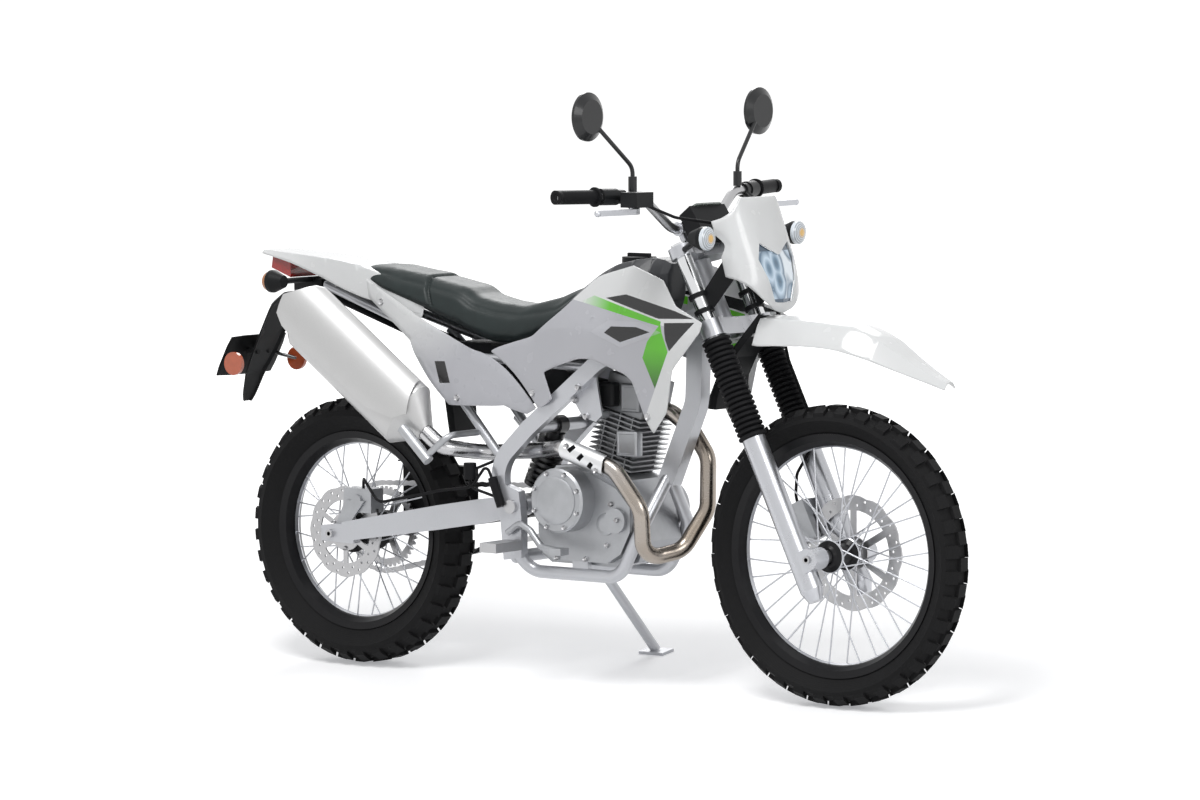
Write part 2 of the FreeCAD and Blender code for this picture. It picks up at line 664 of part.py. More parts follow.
def bent_bar(points, width, depth, bend):
    """A bar of oblong section whose path lies in a plane that runs fore and aft."""
    path = bent_path(points, bend)
    run = (points[1] - points[0]).normalize()
    across = ACROSS - run * run.dot(ACROSS)
    across = across.normalize() * (width / 2)
    square = run.cross(across).normalize() * (depth / 2)
    corners = [points[0] + across + square, points[0] + across - square,
               points[0] - across - square, points[0] - across + square]
    return path.makePipeShell([closed_wire(corners)], True, False)


def ruled_loft(rings):
    return Part.makeLoft([closed_wire(ring) for ring in rings], True, True)


def wall_loft(rows, inward):
    """A wall between rows of points, as thick as the inward vector."""
    return ruled_loft([row + [point + inward for point in reversed(row)] for row in rows])


def pillow_section(x, half_width, bottom, top):
    """A soft closed section across the machine, nearly flat below and crowned above."""
    shoulder = bottom + 0.72 * (top - bottom)
    waist = bottom + 0.3 * (top - bottom)
    return [at(x, -0.8 * half_width, bottom), at(x, 0, bottom), at(x, 0.8 * half_width, bottom),
            at(x, half_width, waist), at(x, 0.9 * half_width, shoulder),
            at(x, 0.5 * half_width, top), at(x, 0, top), at(x, -0.5 * half_width, top),
            at(x, -0.9 * half_width, shoulder), at(x, -half_width, waist)]


def side_panel(corner, length, height, half_width, shares, forms, levels, wall):
    """The right hand panel of a pair: a creased wall trimmed to its side outline."""
    rows = []
    for form in forms:
        x = corner.x + form[0] * length
        rows.append([at(x, -width * half_width, corner.z + level * height)
                     for width, level in zip(form[1:], levels)])
    skin = wall_loft(rows, at(0, wall, 0))
    outline = side_outline(corner, length, height, shares, -2 * half_width)
    return skin.common(prism(outline, at(0, 2 * half_width, 0)))


def seated_post(start, end, radius, carrier):
    """A mounting post that ends on the piece it is fastened to."""
    return rod(start, end, radius).cut(carrier)


# Wheels
def tyre(centre, radius, width, rim_radius, rim_width):
    """A knobbly tyre: side and middle lugs that stand in turn on a faceted carcass."""
    half = width / 2
    tall = radius - rim_radius
    clear = rim_width / 2 - RIM_WALL - RUNNING_GAP
    lip = RIM_LIP_SHARE * RIM_DEPTH
    bead = clear - (half - clear) * lip / (BULGE_RISE_SHARE * tall - lip)
    sides = [-1, -GAP_SHARE, -CROWN_SHARE, CROWN_SHARE, GAP_SHARE, 1]
    floor = [(radius - LUG_HEIGHT - (1 - TREAD_DROP_SHARES[i]) * tall, TREAD_SIDE_SHARE * half * side)
             for i, side in enumerate(sides)]
    top = [(low + LUG_HEIGHT * (1.0 if abs(side) < half / 2 else EDGE_LUG_SHARE), side) for low,
           side in floor]
    wall = [(rim_radius, -bead), (rim_radius + BULGE_RISE_SHARE * tall, -half)]
    faces = []
    for index in range(2 * LUG_COUNT):
        turns = [FULL_TURN * (index + step) / (2 * LUG_COUNT) for step in (-0.5, 0.5)]
        low = [[wheel_place(centre, pair, turn) for pair in floor] for turn in turns]
        high = [[wheel_place(centre, pair, turn) for pair in top] for turn in turns]
        skirt = [[wheel_place(centre, pair, turn) for pair in wall] for turn in turns]
        far = [[wheel_place(centre, (r, -s), turn) for r, s in wall] for turn in turns]
        faces += band_faces(skirt[0] + [low[0][0]], skirt[1] + [low[1][0]])
        faces += band_faces(far[0] + [low[0][5]], far[1] + [low[1][5]])
        faces += band_faces([skirt[0][0], far[0][0]], [skirt[1][0], far[1][0]])
        for column in range(5):
            if (column in (0, 4) and index % 2) or (column == 2 and index % 2 == 0):
                faces += lug_faces([high[0][column], high[0][column + 1], high[1][column + 1],
                                    high[1][column]],
                                   [low[0][column], low[0][column + 1], low[1][column + 1], low[1][column]])
            else:
                faces += band_faces(low[0][column:column + 2], low[1][column:column + 2])
    shell = Part.makeShell(faces)
    shell.sewShape()
    return Part.makeSolid(shell)


def wheel_place(centre, pair, turn):
    """A place on a wheel from its radius and side and its turn about the axle."""
    return centre + at(0, pair[1], 0) + spoke_arm(pair[0], turn)


def flat_face(corners):
    return Part.Face(closed_wire(corners))


def band_faces(first, second):
    """Flat faces between two rows of points."""
    return [flat_face([first[k], first[k + 1], second[k + 1], second[k]]) for k in range(len(first) - 1)]


def lug_faces(top, foot):
    """The crown and four sides of one raised block."""
    walls = [flat_face([top[k], top[(k + 1) % 4], foot[(k + 1) % 4], foot[k]]) for k in range(4)]
    return walls + [flat_face(top)]


def wheel(centre, rim_radius, rim_width, hub_radius, flange_radius, hub_width, bore):
    """Rim, hub, axle bores and crossed spokes as one wheel."""
    half = rim_width / 2
    rim = spun(centre, [(rim_radius - RIM_DEPTH, 0), (rim_radius - 0.75 * RIM_DEPTH, -0.4 * half),
                        (rim_radius - 0.35 * RIM_DEPTH,
                         -0.86 * half), (rim_radius + RIM_LIP_SHARE * RIM_DEPTH, -half),
                        (rim_radius + RIM_LIP_SHARE * RIM_DEPTH,
                         -half + RIM_WALL), (rim_radius - RUNNING_GAP, -half + RIM_WALL),
                        (rim_radius - RUNNING_GAP, -0.5 * half), (rim_radius - 0.7 * RIM_DEPTH, -0.25 * half),
                        (rim_radius - 0.7 * RIM_DEPTH, 0.25 * half), (rim_radius - RUNNING_GAP, 0.5 * half),
                        (rim_radius - RUNNING_GAP, half - RIM_WALL), (rim_radius + RIM_LIP_SHARE * RIM_DEPTH,
                                                                      half - RIM_WALL),
                        (rim_radius + RIM_LIP_SHARE * RIM_DEPTH, half), (rim_radius - 0.35 * RIM_DEPTH,
                                                                         0.86 * half),
                        (rim_radius - 0.75 * RIM_DEPTH, 0.4 * half)])
    wide = hub_width / 2
    flange = wide - FLANGE_THICKNESS
    hub = spun(centre, [(bore, -wide), (BEARING_RADIUS + FLANGE_THICKNESS, -wide),
                        (hub_radius, -wide + FLANGE_THICKNESS), (flange_radius, -flange + FLANGE_THICKNESS),
                        (flange_radius, -flange + 2 * FLANGE_THICKNESS), (hub_radius,
                                                                          -flange + 4 * FLANGE_THICKNESS),
                        (hub_radius, flange - 4 * FLANGE_THICKNESS), (flange_radius,
                                                                      flange - 2 * FLANGE_THICKNESS),
                        (flange_radius, flange - FLANGE_THICKNESS), (hub_radius, wide - FLANGE_THICKNESS),
                        (BEARING_RADIUS + FLANGE_THICKNESS, wide), (bore, wide)])
    pairs = SPOKE_COUNT // 2
    spokes = []
    for index in range(SPOKE_COUNT):
        hand = 1 if index % 2 else -1
        lean = 1 if (index // 2) % 2 else -1
        rim_turn = FULL_TURN * (index + 0.5) / SPOKE_COUNT
        hub_turn = rim_turn + lean * FULL_TURN * 2.5 / pairs
        low = flange_radius - FLANGE_THICKNESS
        start = at(0, hand * (flange - 1.5 * FLANGE_THICKNESS), 0) + spoke_arm(low, hub_turn)
        end = at(0, hand * 0.12 * half, 0) + spoke_arm(rim_radius - 0.78 * RIM_DEPTH, rim_turn)
        spokes.append(rod(centre + start, centre + end, SPOKE_RADIUS))
    return rim.fuse([hub] + spokes)


def spoke_arm(radius, turn):
    angle = math.radians(turn)
    return at(radius * math.cos(angle), 0, radius * math.sin(angle))


def brake_disc(centre, side, radius, inner_radius, mount_radius):
    """A wave edged disc, drilled in two rings, on a spider that reaches in to the hub."""
    points = []
    for index in range(DISC_WAVE_COUNT * 4):
        swell = radius - WAVE_SHARES[index % 4] * WAVE_DEPTH_SHARE * radius
        points.append(centre + at(0, side, 0) + spoke_arm(swell, FULL_TURN * index / (DISC_WAVE_COUNT * 4)))
    run = at(0, DISC_THICKNESS, 0)
    inner = [centre + at(0, side, 0) + spoke_arm(inner_radius, FULL_TURN * index / DISC_FACET_COUNT)
             for index in range(DISC_FACET_COUNT)]
    wires = [closed_wire(points), closed_wire(inner)]
    band = radius - inner_radius
    for index in range(DISC_HOLE_COUNT):
        reach = inner_radius + band * DISC_HOLE_SHARES[index % 2]
        middle = centre + at(0, side, 0) + spoke_arm(reach, FULL_TURN * (index + 0.5) / DISC_HOLE_COUNT)
        wires.append(closed_wire([middle + spoke_arm(DISC_HOLE_RADIUS,
                                                     FULL_TURN / 6 * corner) for corner in range(6)]))
    ring = Part.makeFace(wires, "Part::FaceMakerBullseye").extrude(run)
    arms = []
    for index in range(6):
        bar = block(at(0, 0, (inner_radius + mount_radius) / 2 + 0.02 * radius), 0.12 * radius,
                    DISC_THICKNESS,
                    inner_radius - mount_radius + 0.12 * radius)
        bar.rotate(ORIGIN, ACROSS, FULL_TURN / 6 * index)
        bar.translate(centre + at(0, side + DISC_THICKNESS / 2, 0))
        arms.append(bar)
    collar = hollow_rod(centre + at(0, side, 0), centre + at(0, side + DISC_THICKNESS, 0),
                        mount_radius + 0.06 * radius, mount_radius - 0.1 * radius)
    return ring.fuse(arms + [collar]).removeSplitter()


def front_tyre():
    return tyre(FRONT_AXLE, FRONT_TYRE_RADIUS, FRONT_TYRE_WIDTH, FRONT_RIM_RADIUS, FRONT_RIM_WIDTH)


def front_wheel():
    return wheel(FRONT_AXLE, FRONT_RIM_RADIUS, FRONT_RIM_WIDTH, FRONT_HUB_RADIUS, FRONT_FLANGE_RADIUS,
                 FRONT_HUB_WIDTH, FRONT_AXLE_RADIUS + RUNNING_GAP)


def rear_tyre():
    return tyre(REAR_AXLE, REAR_TYRE_RADIUS, REAR_TYRE_WIDTH, REAR_RIM_RADIUS, REAR_RIM_WIDTH)


def rear_wheel():
    return wheel(REAR_AXLE, REAR_RIM_RADIUS, REAR_RIM_WIDTH, REAR_HUB_RADIUS, REAR_FLANGE_RADIUS,
                 REAR_HUB_WIDTH, REAR_AXLE_RADIUS + RUNNING_GAP)


def front_disc():
    seat = FRONT_HUB_WIDTH / 2 + RUNNING_GAP
    disc = brake_disc(FRONT_AXLE, FRONT_DISC_SIDE, FRONT_DISC_RADIUS, FRONT_DISC_INNER_RADIUS,
                      FRONT_HUB_RADIUS + FLANGE_THICKNESS)
    spacer = hollow_rod(FRONT_AXLE + at(0, seat, 0), FRONT_AXLE + at(0, FRONT_DISC_SIDE + DISC_THICKNESS, 0),
                        FRONT_HUB_RADIUS, BEARING_RADIUS)
    return fused([disc, spacer])


def rear_disc():
    seat = REAR_HUB_WIDTH / 2 + RUNNING_GAP
    disc = brake_disc(REAR_AXLE, REAR_DISC_SIDE, REAR_DISC_RADIUS, REAR_DISC_INNER_RADIUS,
                      REAR_HUB_RADIUS + FLANGE_THICKNESS)
    spacer = hollow_rod(REAR_AXLE + at(0, seat, 0), REAR_AXLE + at(0, REAR_DISC_SIDE + DISC_THICKNESS, 0),
                        REAR_HUB_RADIUS, BEARING_RADIUS)
    return mirrored(fused([disc, spacer]))


def rear_sprocket():
    """A toothed plate with windows between its arms, on the spacer that seats against the hub."""
    seat = REAR_HUB_WIDTH / 2 + RUNNING_GAP
    tip = SPROCKET_RADIUS - CHAIN_DEPTH
    plate = toothed_disc(REAR_AXLE, CHAIN_SIDE, SPROCKET_THICKNESS, tip, tip - TOOTH_DEPTH, REAR_TOOTH_COUNT)
    low = REAR_HUB_RADIUS + TOOTH_DEPTH
    high = tip - 2.5 * TOOTH_DEPTH
    windows = []
    for index in range(SPROCKET_WINDOW_COUNT):
        pitch = FULL_TURN / SPROCKET_WINDOW_COUNT
        corners = [spoke_arm(low, pitch * (index + 0.2)), spoke_arm(high, pitch * (index + 0.14)),
                   spoke_arm(high, pitch * (index + 0.5)), spoke_arm(high, pitch * (index + 0.86)),
                   spoke_arm(low, pitch * (index + 0.8))]
        windows.append(prism([REAR_AXLE + at(0, REAR_HUB_WIDTH / 2, 0) + p for p in corners],
                             at(0, CHAIN_SIDE, 0)))
    bore = rod(REAR_AXLE, REAR_AXLE + at(0, 2 * CHAIN_SIDE, 0), BEARING_RADIUS)
    spacer = hollow_rod(REAR_AXLE + at(0, seat, 0), REAR_AXLE + at(0, CHAIN_SIDE, 0),
                        REAR_HUB_RADIUS, BEARING_RADIUS)
    return fused([plate.cut(windows + [bore]), spacer])


def collar(axle, start, end, radius):
    return rod(axle + at(0, start, 0), axle + at(0, end, 0), radius)


def front_axle():
    """Hollow axle with the collars that space the hub between the legs."""
    half = LEG_SPACING / 2 + AXLE_LUG_RADIUS + CUT_OVERRUN
    lug_face = LEG_SPACING / 2 - AXLE_LUG_RADIUS - RUNNING_GAP
    left_gap = FRONT_DISC_SIDE + DISC_THICKNESS + SIDE_CLEARANCE
    right_gap = FRONT_HUB_WIDTH / 2 + SIDE_CLEARANCE
    bar = fused([rod(FRONT_AXLE - at(0, half, 0), FRONT_AXLE + at(0, half, 0), FRONT_AXLE_RADIUS),
                 collar(FRONT_AXLE, left_gap, lug_face, BEARING_RADIUS),
                 collar(FRONT_AXLE, -lug_face, -right_gap, BEARING_RADIUS)])
    return bar.cut(rod(FRONT_AXLE - at(0, 2 * half, 0), FRONT_AXLE + at(0, 2 * half, 0), AXLE_BORE_RADIUS))


def rear_axle():
    """Hollow axle with the collars that space the wheel between the arms."""
    half = ARM_SIDE + ARM_WIDTH / 2 + 2 * CUT_OVERRUN
    arm_face = ARM_SIDE - ARM_WIDTH / 2 - RUNNING_GAP
    left_gap = CHAIN_SIDE + SPROCKET_THICKNESS / 2 + SIDE_CLEARANCE
    right_gap = REAR_DISC_SIDE + DISC_THICKNESS + SIDE_CLEARANCE
    bar = fused([rod(REAR_AXLE - at(0, half, 0), REAR_AXLE + at(0, half, 0), REAR_AXLE_RADIUS),
                 collar(REAR_AXLE, left_gap, arm_face, BEARING_RADIUS),
                 collar(REAR_AXLE, -arm_face, -right_gap, BEARING_RADIUS)])
    return bar.cut(rod(REAR_AXLE - at(0, 2 * half, 0), REAR_AXLE + at(0, 2 * half, 0), AXLE_BORE_RADIUS))


# Fork
def fork_leg():
    """The right hand lower leg with its axle lug."""
    side = -LEG_SPACING / 2
    tube = rod(fork_point(0, side, -LEG_FOOT_DROP), fork_point(0, side, LEG_LENGTH - LEG_FOOT_DROP),
               LEG_RADIUS)
    foot = cone(fork_point(0, side, -LEG_FOOT_DROP - LEG_RADIUS), fork_point(0, side, -LEG_FOOT_DROP),
                0.6 * LEG_RADIUS, LEG_RADIUS)
    lug_half = AXLE_LUG_RADIUS
    lug = rod(FRONT_AXLE + at(0, side - lug_half, 0), FRONT_AXLE + at(0, side + lug_half, 0), AXLE_LUG_RADIUS)
    web = prism([fork_point(0, side - lug_half, AXLE_LUG_RADIUS),
                 fork_point(AXLE_LEAD, side - lug_half, AXLE_LUG_RADIUS),
                 fork_point(AXLE_LEAD, side - lug_half, -AXLE_LUG_RADIUS),
                 fork_point(0, side - lug_half, -AXLE_LUG_RADIUS)], at(0, 2 * lug_half, 0))
    leg = fused([tube, foot, web, lug])
    bore = rod(FRONT_AXLE + at(0, side - 2 * lug_half, 0), FRONT_AXLE + at(0, side + 2 * lug_half, 0),
               FRONT_AXLE_RADIUS)
    return leg.cut(bore)


def fork_legs():
    return both_sides(fork_leg())


def fork_boot():
    side = -LEG_SPACING / 2
    start = LEG_LENGTH - LEG_FOOT_DROP + RUNNING_GAP
    pitch = BOOT_LENGTH / BOOT_RIB_COUNT
    bore = FORK_TUBE_RADIUS + RUNNING_GAP
    pairs = [(bore, start)]
    for rib in range(BOOT_RIB_COUNT):
        base = start + rib * pitch
        pairs += [(BOOT_ROOT_RADIUS, base), (BOOT_RADIUS, base + 0.3 * pitch),
                  (BOOT_RADIUS, base + 0.7 * pitch)]
    pairs += [(BOOT_ROOT_RADIUS, start + BOOT_LENGTH), (bore, start + BOOT_LENGTH)]
    profile = [fork_point(radius, side, height) for radius, height in pairs]
    return turned(profile, fork_point(0, side, 0), FORK_UP)


def fork_boots():
    return both_sides(fork_boot())


def fork_tubes():
    side = -LEG_SPACING / 2
    start = LEG_LENGTH - LEG_FOOT_DROP + RUNNING_GAP
    return both_sides(rod(fork_point(0, side, start), fork_point(0, side, FORK_TUBE_TOP), FORK_TUBE_RADIUS))


def clamp_yoke(height, thickness, reach):
    """A yoke that joins both fork tubes to the steering stem."""
    half = LEG_SPACING / 2
    eye = FORK_TUBE_RADIUS + CLAMP_WALL
    outline = [(eye * 0.8, -half), (eye * 0.7, -half / 2), (reach, 0), (eye * 0.7, half / 2),
               (eye * 0.8, half),
               (-eye * 0.8, half), (-STEM_SETBACK - STEM_RADIUS - CLAMP_WALL, half / 4),
               (-STEM_SETBACK - STEM_RADIUS - CLAMP_WALL, -half / 4), (-eye * 0.8, -half)]
    low = height - thickness / 2
    body = prism([fork_point(a, s, low) for a, s in outline], FORK_UP * thickness)
    eyes = [rod(fork_point(0, s, low), fork_point(0, s, low + thickness), eye) for s in (-half, half)]
    yoke = fused([body] + eyes)
    bores = [rod(fork_point(0, s, low - CUT_OVERRUN), fork_point(0, s, low + thickness + CUT_OVERRUN),
                 FORK_TUBE_RADIUS + RUNNING_GAP) for s in (-half, half)]
    return yoke.cut(bores)


def fork_clamps():
    lower = clamp_yoke(LOWER_CLAMP_HEIGHT, LOWER_CLAMP_THICKNESS, FORK_TUBE_RADIUS)
    upper = clamp_yoke(UPPER_CLAMP_HEIGHT, UPPER_CLAMP_THICKNESS, 0)
    stem = rod(fork_point(-STEM_SETBACK, 0, LOWER_CLAMP_HEIGHT), fork_point(-STEM_SETBACK, 0,
                                                                            UPPER_CLAMP_HEIGHT),
               STEM_RADIUS)
    nut = rod(fork_point(-STEM_SETBACK, 0, UPPER_CLAMP_HEIGHT),
              fork_point(-STEM_SETBACK, 0, UPPER_CLAMP_HEIGHT + UPPER_CLAMP_THICKNESS), STEM_RADIUS)
    risers = []
    for hand in (-1, 1):
        side = hand * BAR_CLAMP_WIDTH / 2
        foot = fork_point(-STEM_SETBACK / 2, side, UPPER_CLAMP_HEIGHT)
        top = bar_centre() + at(0, side, 0)
        risers.append(rod(foot, top, 0.8 * BAR_RADIUS))
        risers.append(rod(top - at(0, BAR_RADIUS, 0), top + at(0, BAR_RADIUS, 0),
                          BAR_RADIUS + CLAMP_WALL / 2))
    whole = fused([lower, stem, upper, nut] + risers)
    half = BAR_CLAMP_WIDTH
    return whole.cut(rod(bar_centre() - at(0, half, 0), bar_centre() + at(0, half, 0),
                         BAR_RADIUS + RUNNING_GAP / 3))


# Handlebar and its controls
def bar_centre():
    return fork_point(-STEM_SETBACK / 2, 0, UPPER_CLAMP_HEIGHT + UPPER_CLAMP_THICKNESS / 2 + BAR_RISER_HEIGHT)


def bar_points():
    """The right hand half of the bar from its middle to its end."""
    middle = bar_centre()
    half = BAR_WIDTH / 2
    return [middle, middle + at(0, -0.85 * BAR_CLAMP_WIDTH, 0),
            middle + at(-0.16 * BAR_SWEEP, BAR_STRAIGHT - half, 0.95 * BAR_RISE), middle + at(-BAR_SWEEP,
                                                                                              -half, BAR_RISE)]


def bar_at(side):
    """A point on the grip run of the bar at a distance to the right, and the run's direction."""
    inner, end = bar_points()[2:]
    share = (side + inner.y) / (inner.y - end.y)
    return inner + (end - inner) * share, (end - inner).normalize()


def handlebar():
    right = bar_points()
    left = [at(p.x, -p.y, p.z) for p in reversed(right)]
    bar = bent_tube(left[:-1] + right[1:], BAR_RADIUS, BAR_BEND)
    end = right[-1]
    run = (right[-2] - end).normalize()
    bore = rod(end - run * CUT_OVERRUN, end + run * GRIP_LENGTH, BAR_RADIUS - BAR_WALL)
    return bar.cut([bore, mirrored(bore)])


def grips():
    end, run = bar_at(BAR_WIDTH / 2)
    start = end - run * GRIP_LENGTH
    grip = hollow_rod(start, end, GRIP_RADIUS, BAR_RADIUS + RUNNING_GAP / 2)
    flange = hollow_rod(start, start + run * (GRIP_RADIUS / 3), 1.4 * GRIP_RADIUS,
                        BAR_RADIUS + RUNNING_GAP / 2)
    return both_sides(fused([grip, flange]))


def control_housing():
    start, run = bar_at(CONTROL_SIDE)
    housing = rod(start, start + run * CONTROL_LENGTH, CONTROL_RADIUS)
    lever_mount, run = bar_at(CONTROL_SIDE - CONTROL_LENGTH * 0.4)
    perch = rod(lever_mount - run * (CONTROL_LENGTH * 0.08), start + run * CUT_OVERRUN, 0.85 * CONTROL_RADIUS)
    arm = rod(lever_mount, lever_pivot(), 0.45 * CONTROL_RADIUS)
    whole = fused([housing, perch, arm])
    return whole.cut(rod(start - run * (2 * CONTROL_LENGTH), start + run * (2 * CONTROL_LENGTH),
                         BAR_RADIUS + RUNNING_GAP / 2))


def lever_pivot():
    return bar_at(CONTROL_SIDE - CONTROL_LENGTH * 0.4)[0] + at(0.9 * LEVER_REACH, 0, -LEVER_DROP)


def lever():
    ahead = LEVER_REACH
    start = lever_pivot() + at(0.4 * CONTROL_RADIUS, 0, -LEVER_WIDTH / 2)
    outline = [start, start + at(0.25 * ahead, -0.2 * LEVER_LENGTH, 0),
               start + at(0, -LEVER_LENGTH, 0), start + at(-0.25 * ahead, -LEVER_LENGTH, 0),
               start + at(-0.05 * ahead, -0.25 * LEVER_LENGTH, 0), start + at(-0.3 * ahead, 0, 0)]
    blade = prism(outline, at(0, 0, LEVER_WIDTH))
    ball = Part.makeSphere(0.6 * LEVER_WIDTH, start + at(-0.12 * ahead, -LEVER_LENGTH, LEVER_WIDTH / 2))
    return fused([blade, ball])


def brake_reservoir():
    centre = lever_pivot() + at(RESERVOIR_AHEAD, -RESERVOIR_INSET, RESERVOIR_LIFT)
    box = block(centre, RESERVOIR_WIDTH, RESERVOIR_LENGTH, RESERVOIR_HEIGHT)
    start, run = bar_at(CONTROL_SIDE)
    return box.cut(rod(start - run * (2 * CONTROL_LENGTH), start + run * (2 * CONTROL_LENGTH),
                       BAR_RADIUS + RUNNING_GAP / 2))


def hand_controls():
    """Switch housings with their levers, and the brake fluid box on the right."""
    hand = fused([control_housing(), lever()])
    return Part.makeCompound([fused([hand, brake_reservoir()]), mirrored(hand)])


def mirror_arm():
    """Right hand mirror: stem, its bend and the oval head."""
    foot = bar_at(MIRROR_BASE_SIDE)[0] + at(0, 0, BAR_RADIUS + RUNNING_GAP)
    bend = foot + at(0, 0, 0.32 * MIRROR_HEIGHT)
    head = at(foot.x - 0.5 * MIRROR_RADIUS, -MIRROR_SIDE, foot.z + MIRROR_HEIGHT)
    stem = bent_tube([foot, bend, head], MIRROR_STEM_RADIUS, 0.2 * MIRROR_HEIGHT)
    boss = rod(foot, foot + at(0, 0, 0.2 * MIRROR_HEIGHT), 2 * MIRROR_STEM_RADIUS)
    shell = Part.makeCone(0.7 * MIRROR_RADIUS, MIRROR_RADIUS, 0.6 * MIRROR_DEPTH,
                          head + at(0.6 * MIRROR_DEPTH, 0, 0), at(-1, 0, 0))
    face = rod(head, head - at(0.4 * MIRROR_DEPTH, 0, 0), MIRROR_RADIUS)
    return fused([stem, boss, shell, face])


def mirrors():
    return both_sides(mirror_arm())


# Front bodywork


def front_fender():
    start = LOWER_CLAMP + at(FENDER_START, 0, -FENDER_DROP)
    rows = []
    for along, top, edge, width in FENDER_FORM_SHARES:
        x = start.x + along * FENDER_LENGTH
        high = start.z + top * FENDER_HEIGHT
        low = start.z + edge * FENDER_HEIGHT
        half = width * FENDER_HALF_WIDTH
        crest = FENDER_CREST_SHARE * half
        rows.append([at(x, -half, low), at(x, -crest, high - 0.1 * (high - low)), at(x, 0, high),
                     at(x, crest, high - 0.1 * (high - low)), at(x, half, low)])
    shell = wall_loft(rows, at(0, 0, -PANEL_WALL))
    top = fork_point(0, 0, LOWER_CLAMP_HEIGHT - LOWER_CLAMP_THICKNESS / 2 - FENDER_MOUNT_GAP)
    tongue_end = start + at(0.3 * FENDER_LENGTH, 0, 0.98 * FENDER_HEIGHT - PANEL_WALL)
    half = 0.4 * FENDER_HALF_WIDTH
    run = at(0, 2 * half, 0)
    low = FORK_UP * (2 * PANEL_WALL)
    tongue = prism([top - at(0, half, 0) - FORK_AHEAD * (STEM_RADIUS), tongue_end - at(0, half, 0),
                    tongue_end - at(0, half, 0) - at(0, 0, PANEL_WALL),
                    top - at(0, half, 0) - FORK_AHEAD * STEM_RADIUS - low], run)
    return fused([shell, tongue])


def cowl_corner():
    return LOWER_CLAMP + at(COWL_START, 0, COWL_LIFT)


def front_outline(shares, grow=0.0):
    """A symmetric outline seen from ahead, in shares of the cowl's half width and height."""
    corner = cowl_corner()
    right = [at(corner.x, -(side * COWL_HALF_WIDTH + (grow if side else 0)), corner.z + height * COWL_HEIGHT)
             for side, height in shares]
    left = [at(p.x, -p.y, p.z) for p in reversed(right) if abs(p.y) > 0]
    return right + left


def cowl_section(height, reach, setback):
    """Points round the cowl at one height, from the right side to the left, set back square to its skin."""
    corner = cowl_corner()
    half = COWL_HALF_WIDTH - setback
    right = [at(corner.x + (reach - back) * COWL_DEPTH - setback, -side * half,
                corner.z + height * COWL_HEIGHT)
             for side, back in reversed(COWL_ROUND_SHARES)]
    left = [at(p.x, -p.y, p.z) for p in reversed(right[:-1])]
    return right + left


def cowl_wall(setback, wall):
    """A wall that follows the cowl's face, set back from it."""
    return ruled_loft([cowl_section(height, reach, setback)
                       + list(reversed(cowl_section(height, reach, setback + wall)))
                       for height, reach in COWL_FACE_SHARES])


def headlamp_cowl():
    reach = at(2 * COWL_DEPTH, 0, 0)
    skin = cowl_wall(0, COWL_WALL)
    shape = skin.common(prism([p - reach / 2 for p in front_outline(COWL_FRONT_SHARES)], reach * 1.5))
    hole = prism([p - reach / 2 for p in front_outline(LENS_FRONT_SHARES, LAMP_GAP)], reach * 1.5)
    return shape.cut(hole)


def headlamp_lens():
    reach = at(2 * COWL_DEPTH, 0, 0)
    return cowl_wall(LENS_RECESS, LENS_THICKNESS).common(
        prism([p - reach / 2 for p in front_outline(LENS_FRONT_SHARES)], reach * 1.5))


def headlamp_body():
    """The lamp's housing, behind its lens from the outline to a smaller back."""
    corner = cowl_corner()
    lens = front_outline(LENS_FRONT_SHARES)
    middle = at(corner.x, 0, corner.z + LAMP_MIDDLE_SHARE * COWL_HEIGHT)
    face = [at(corner.x + LAMP_FACE_REACH_SHARE * COWL_DEPTH, p.y, p.z) for p in lens]
    back = [at(corner.x + LAMP_BACK_REACH_SHARE * COWL_DEPTH, p.y * LAMP_BACK_SHARE,
               middle.z + (p.z - middle.z) * LAMP_BACK_SHARE) for p in lens]
    housing = ruled_loft([back, face])
    room = cowl_wall(LENS_RECESS - RUNNING_GAP, 2 * LENS_THICKNESS)
    return max(housing.cut([room, headlamp_cowl()]).Solids, key=lambda solid: solid.Volume)


def cowl_brackets():
    """Side plates from the fork tubes to the cowl, joined by the bar behind the lamp."""
    side = -LEG_SPACING / 2
    corner = cowl_corner()
    front = corner.x + COWL_BRACKET_REACH_SHARE * COWL_DEPTH
    low_height = LOWER_CLAMP_HEIGHT + LOWER_CLAMP_THICKNESS
    high_height = UPPER_CLAMP_HEIGHT - 4 * UPPER_CLAMP_THICKNESS
    low = fork_point(FORK_TUBE_RADIUS, side, low_height)
    high = fork_point(FORK_TUBE_RADIUS, side, high_height)
    plate = prism([low, at(front, side, corner.z + 0.3 * COWL_HEIGHT),
                   at(front, side, corner.z + 0.6 * COWL_HEIGHT),
                   high], at(0, COWL_BRACKET_WALL, 0))
    rings = []
    for height in (low_height, high_height - 2 * COWL_BRACKET_WALL):
        centre = fork_point(0, side, height)
        rings.append(rod(centre, centre + FORK_UP * (2 * COWL_BRACKET_WALL),
                         FORK_TUBE_RADIUS + COWL_BRACKET_WALL))
    tube = rod(fork_point(0, side, LOWER_CLAMP_HEIGHT), fork_point(0, side, UPPER_CLAMP_HEIGHT),
               FORK_TUBE_RADIUS + RUNNING_GAP)
    middle = at(front - COWL_BRACKET_WALL, side + COWL_BRACKET_WALL / 2, corner.z + 0.45 * COWL_HEIGHT)
    post = seated_post(middle, middle - at(0, 0.3 * COWL_HALF_WIDTH, 0), COWL_BRACKET_WALL, headlamp_cowl())
    inner_post = max(post.Solids, key=lambda solid: solid.BoundBox.YMax)
    half = fused([plate, inner_post] + rings).cut(tube)
    bar = rod(middle, at(middle.x, -middle.y, middle.z), COWL_BRACKET_WALL)
    return fused([half, mirrored(half), bar]).cut([headlamp_cowl(), headlamp_body()])


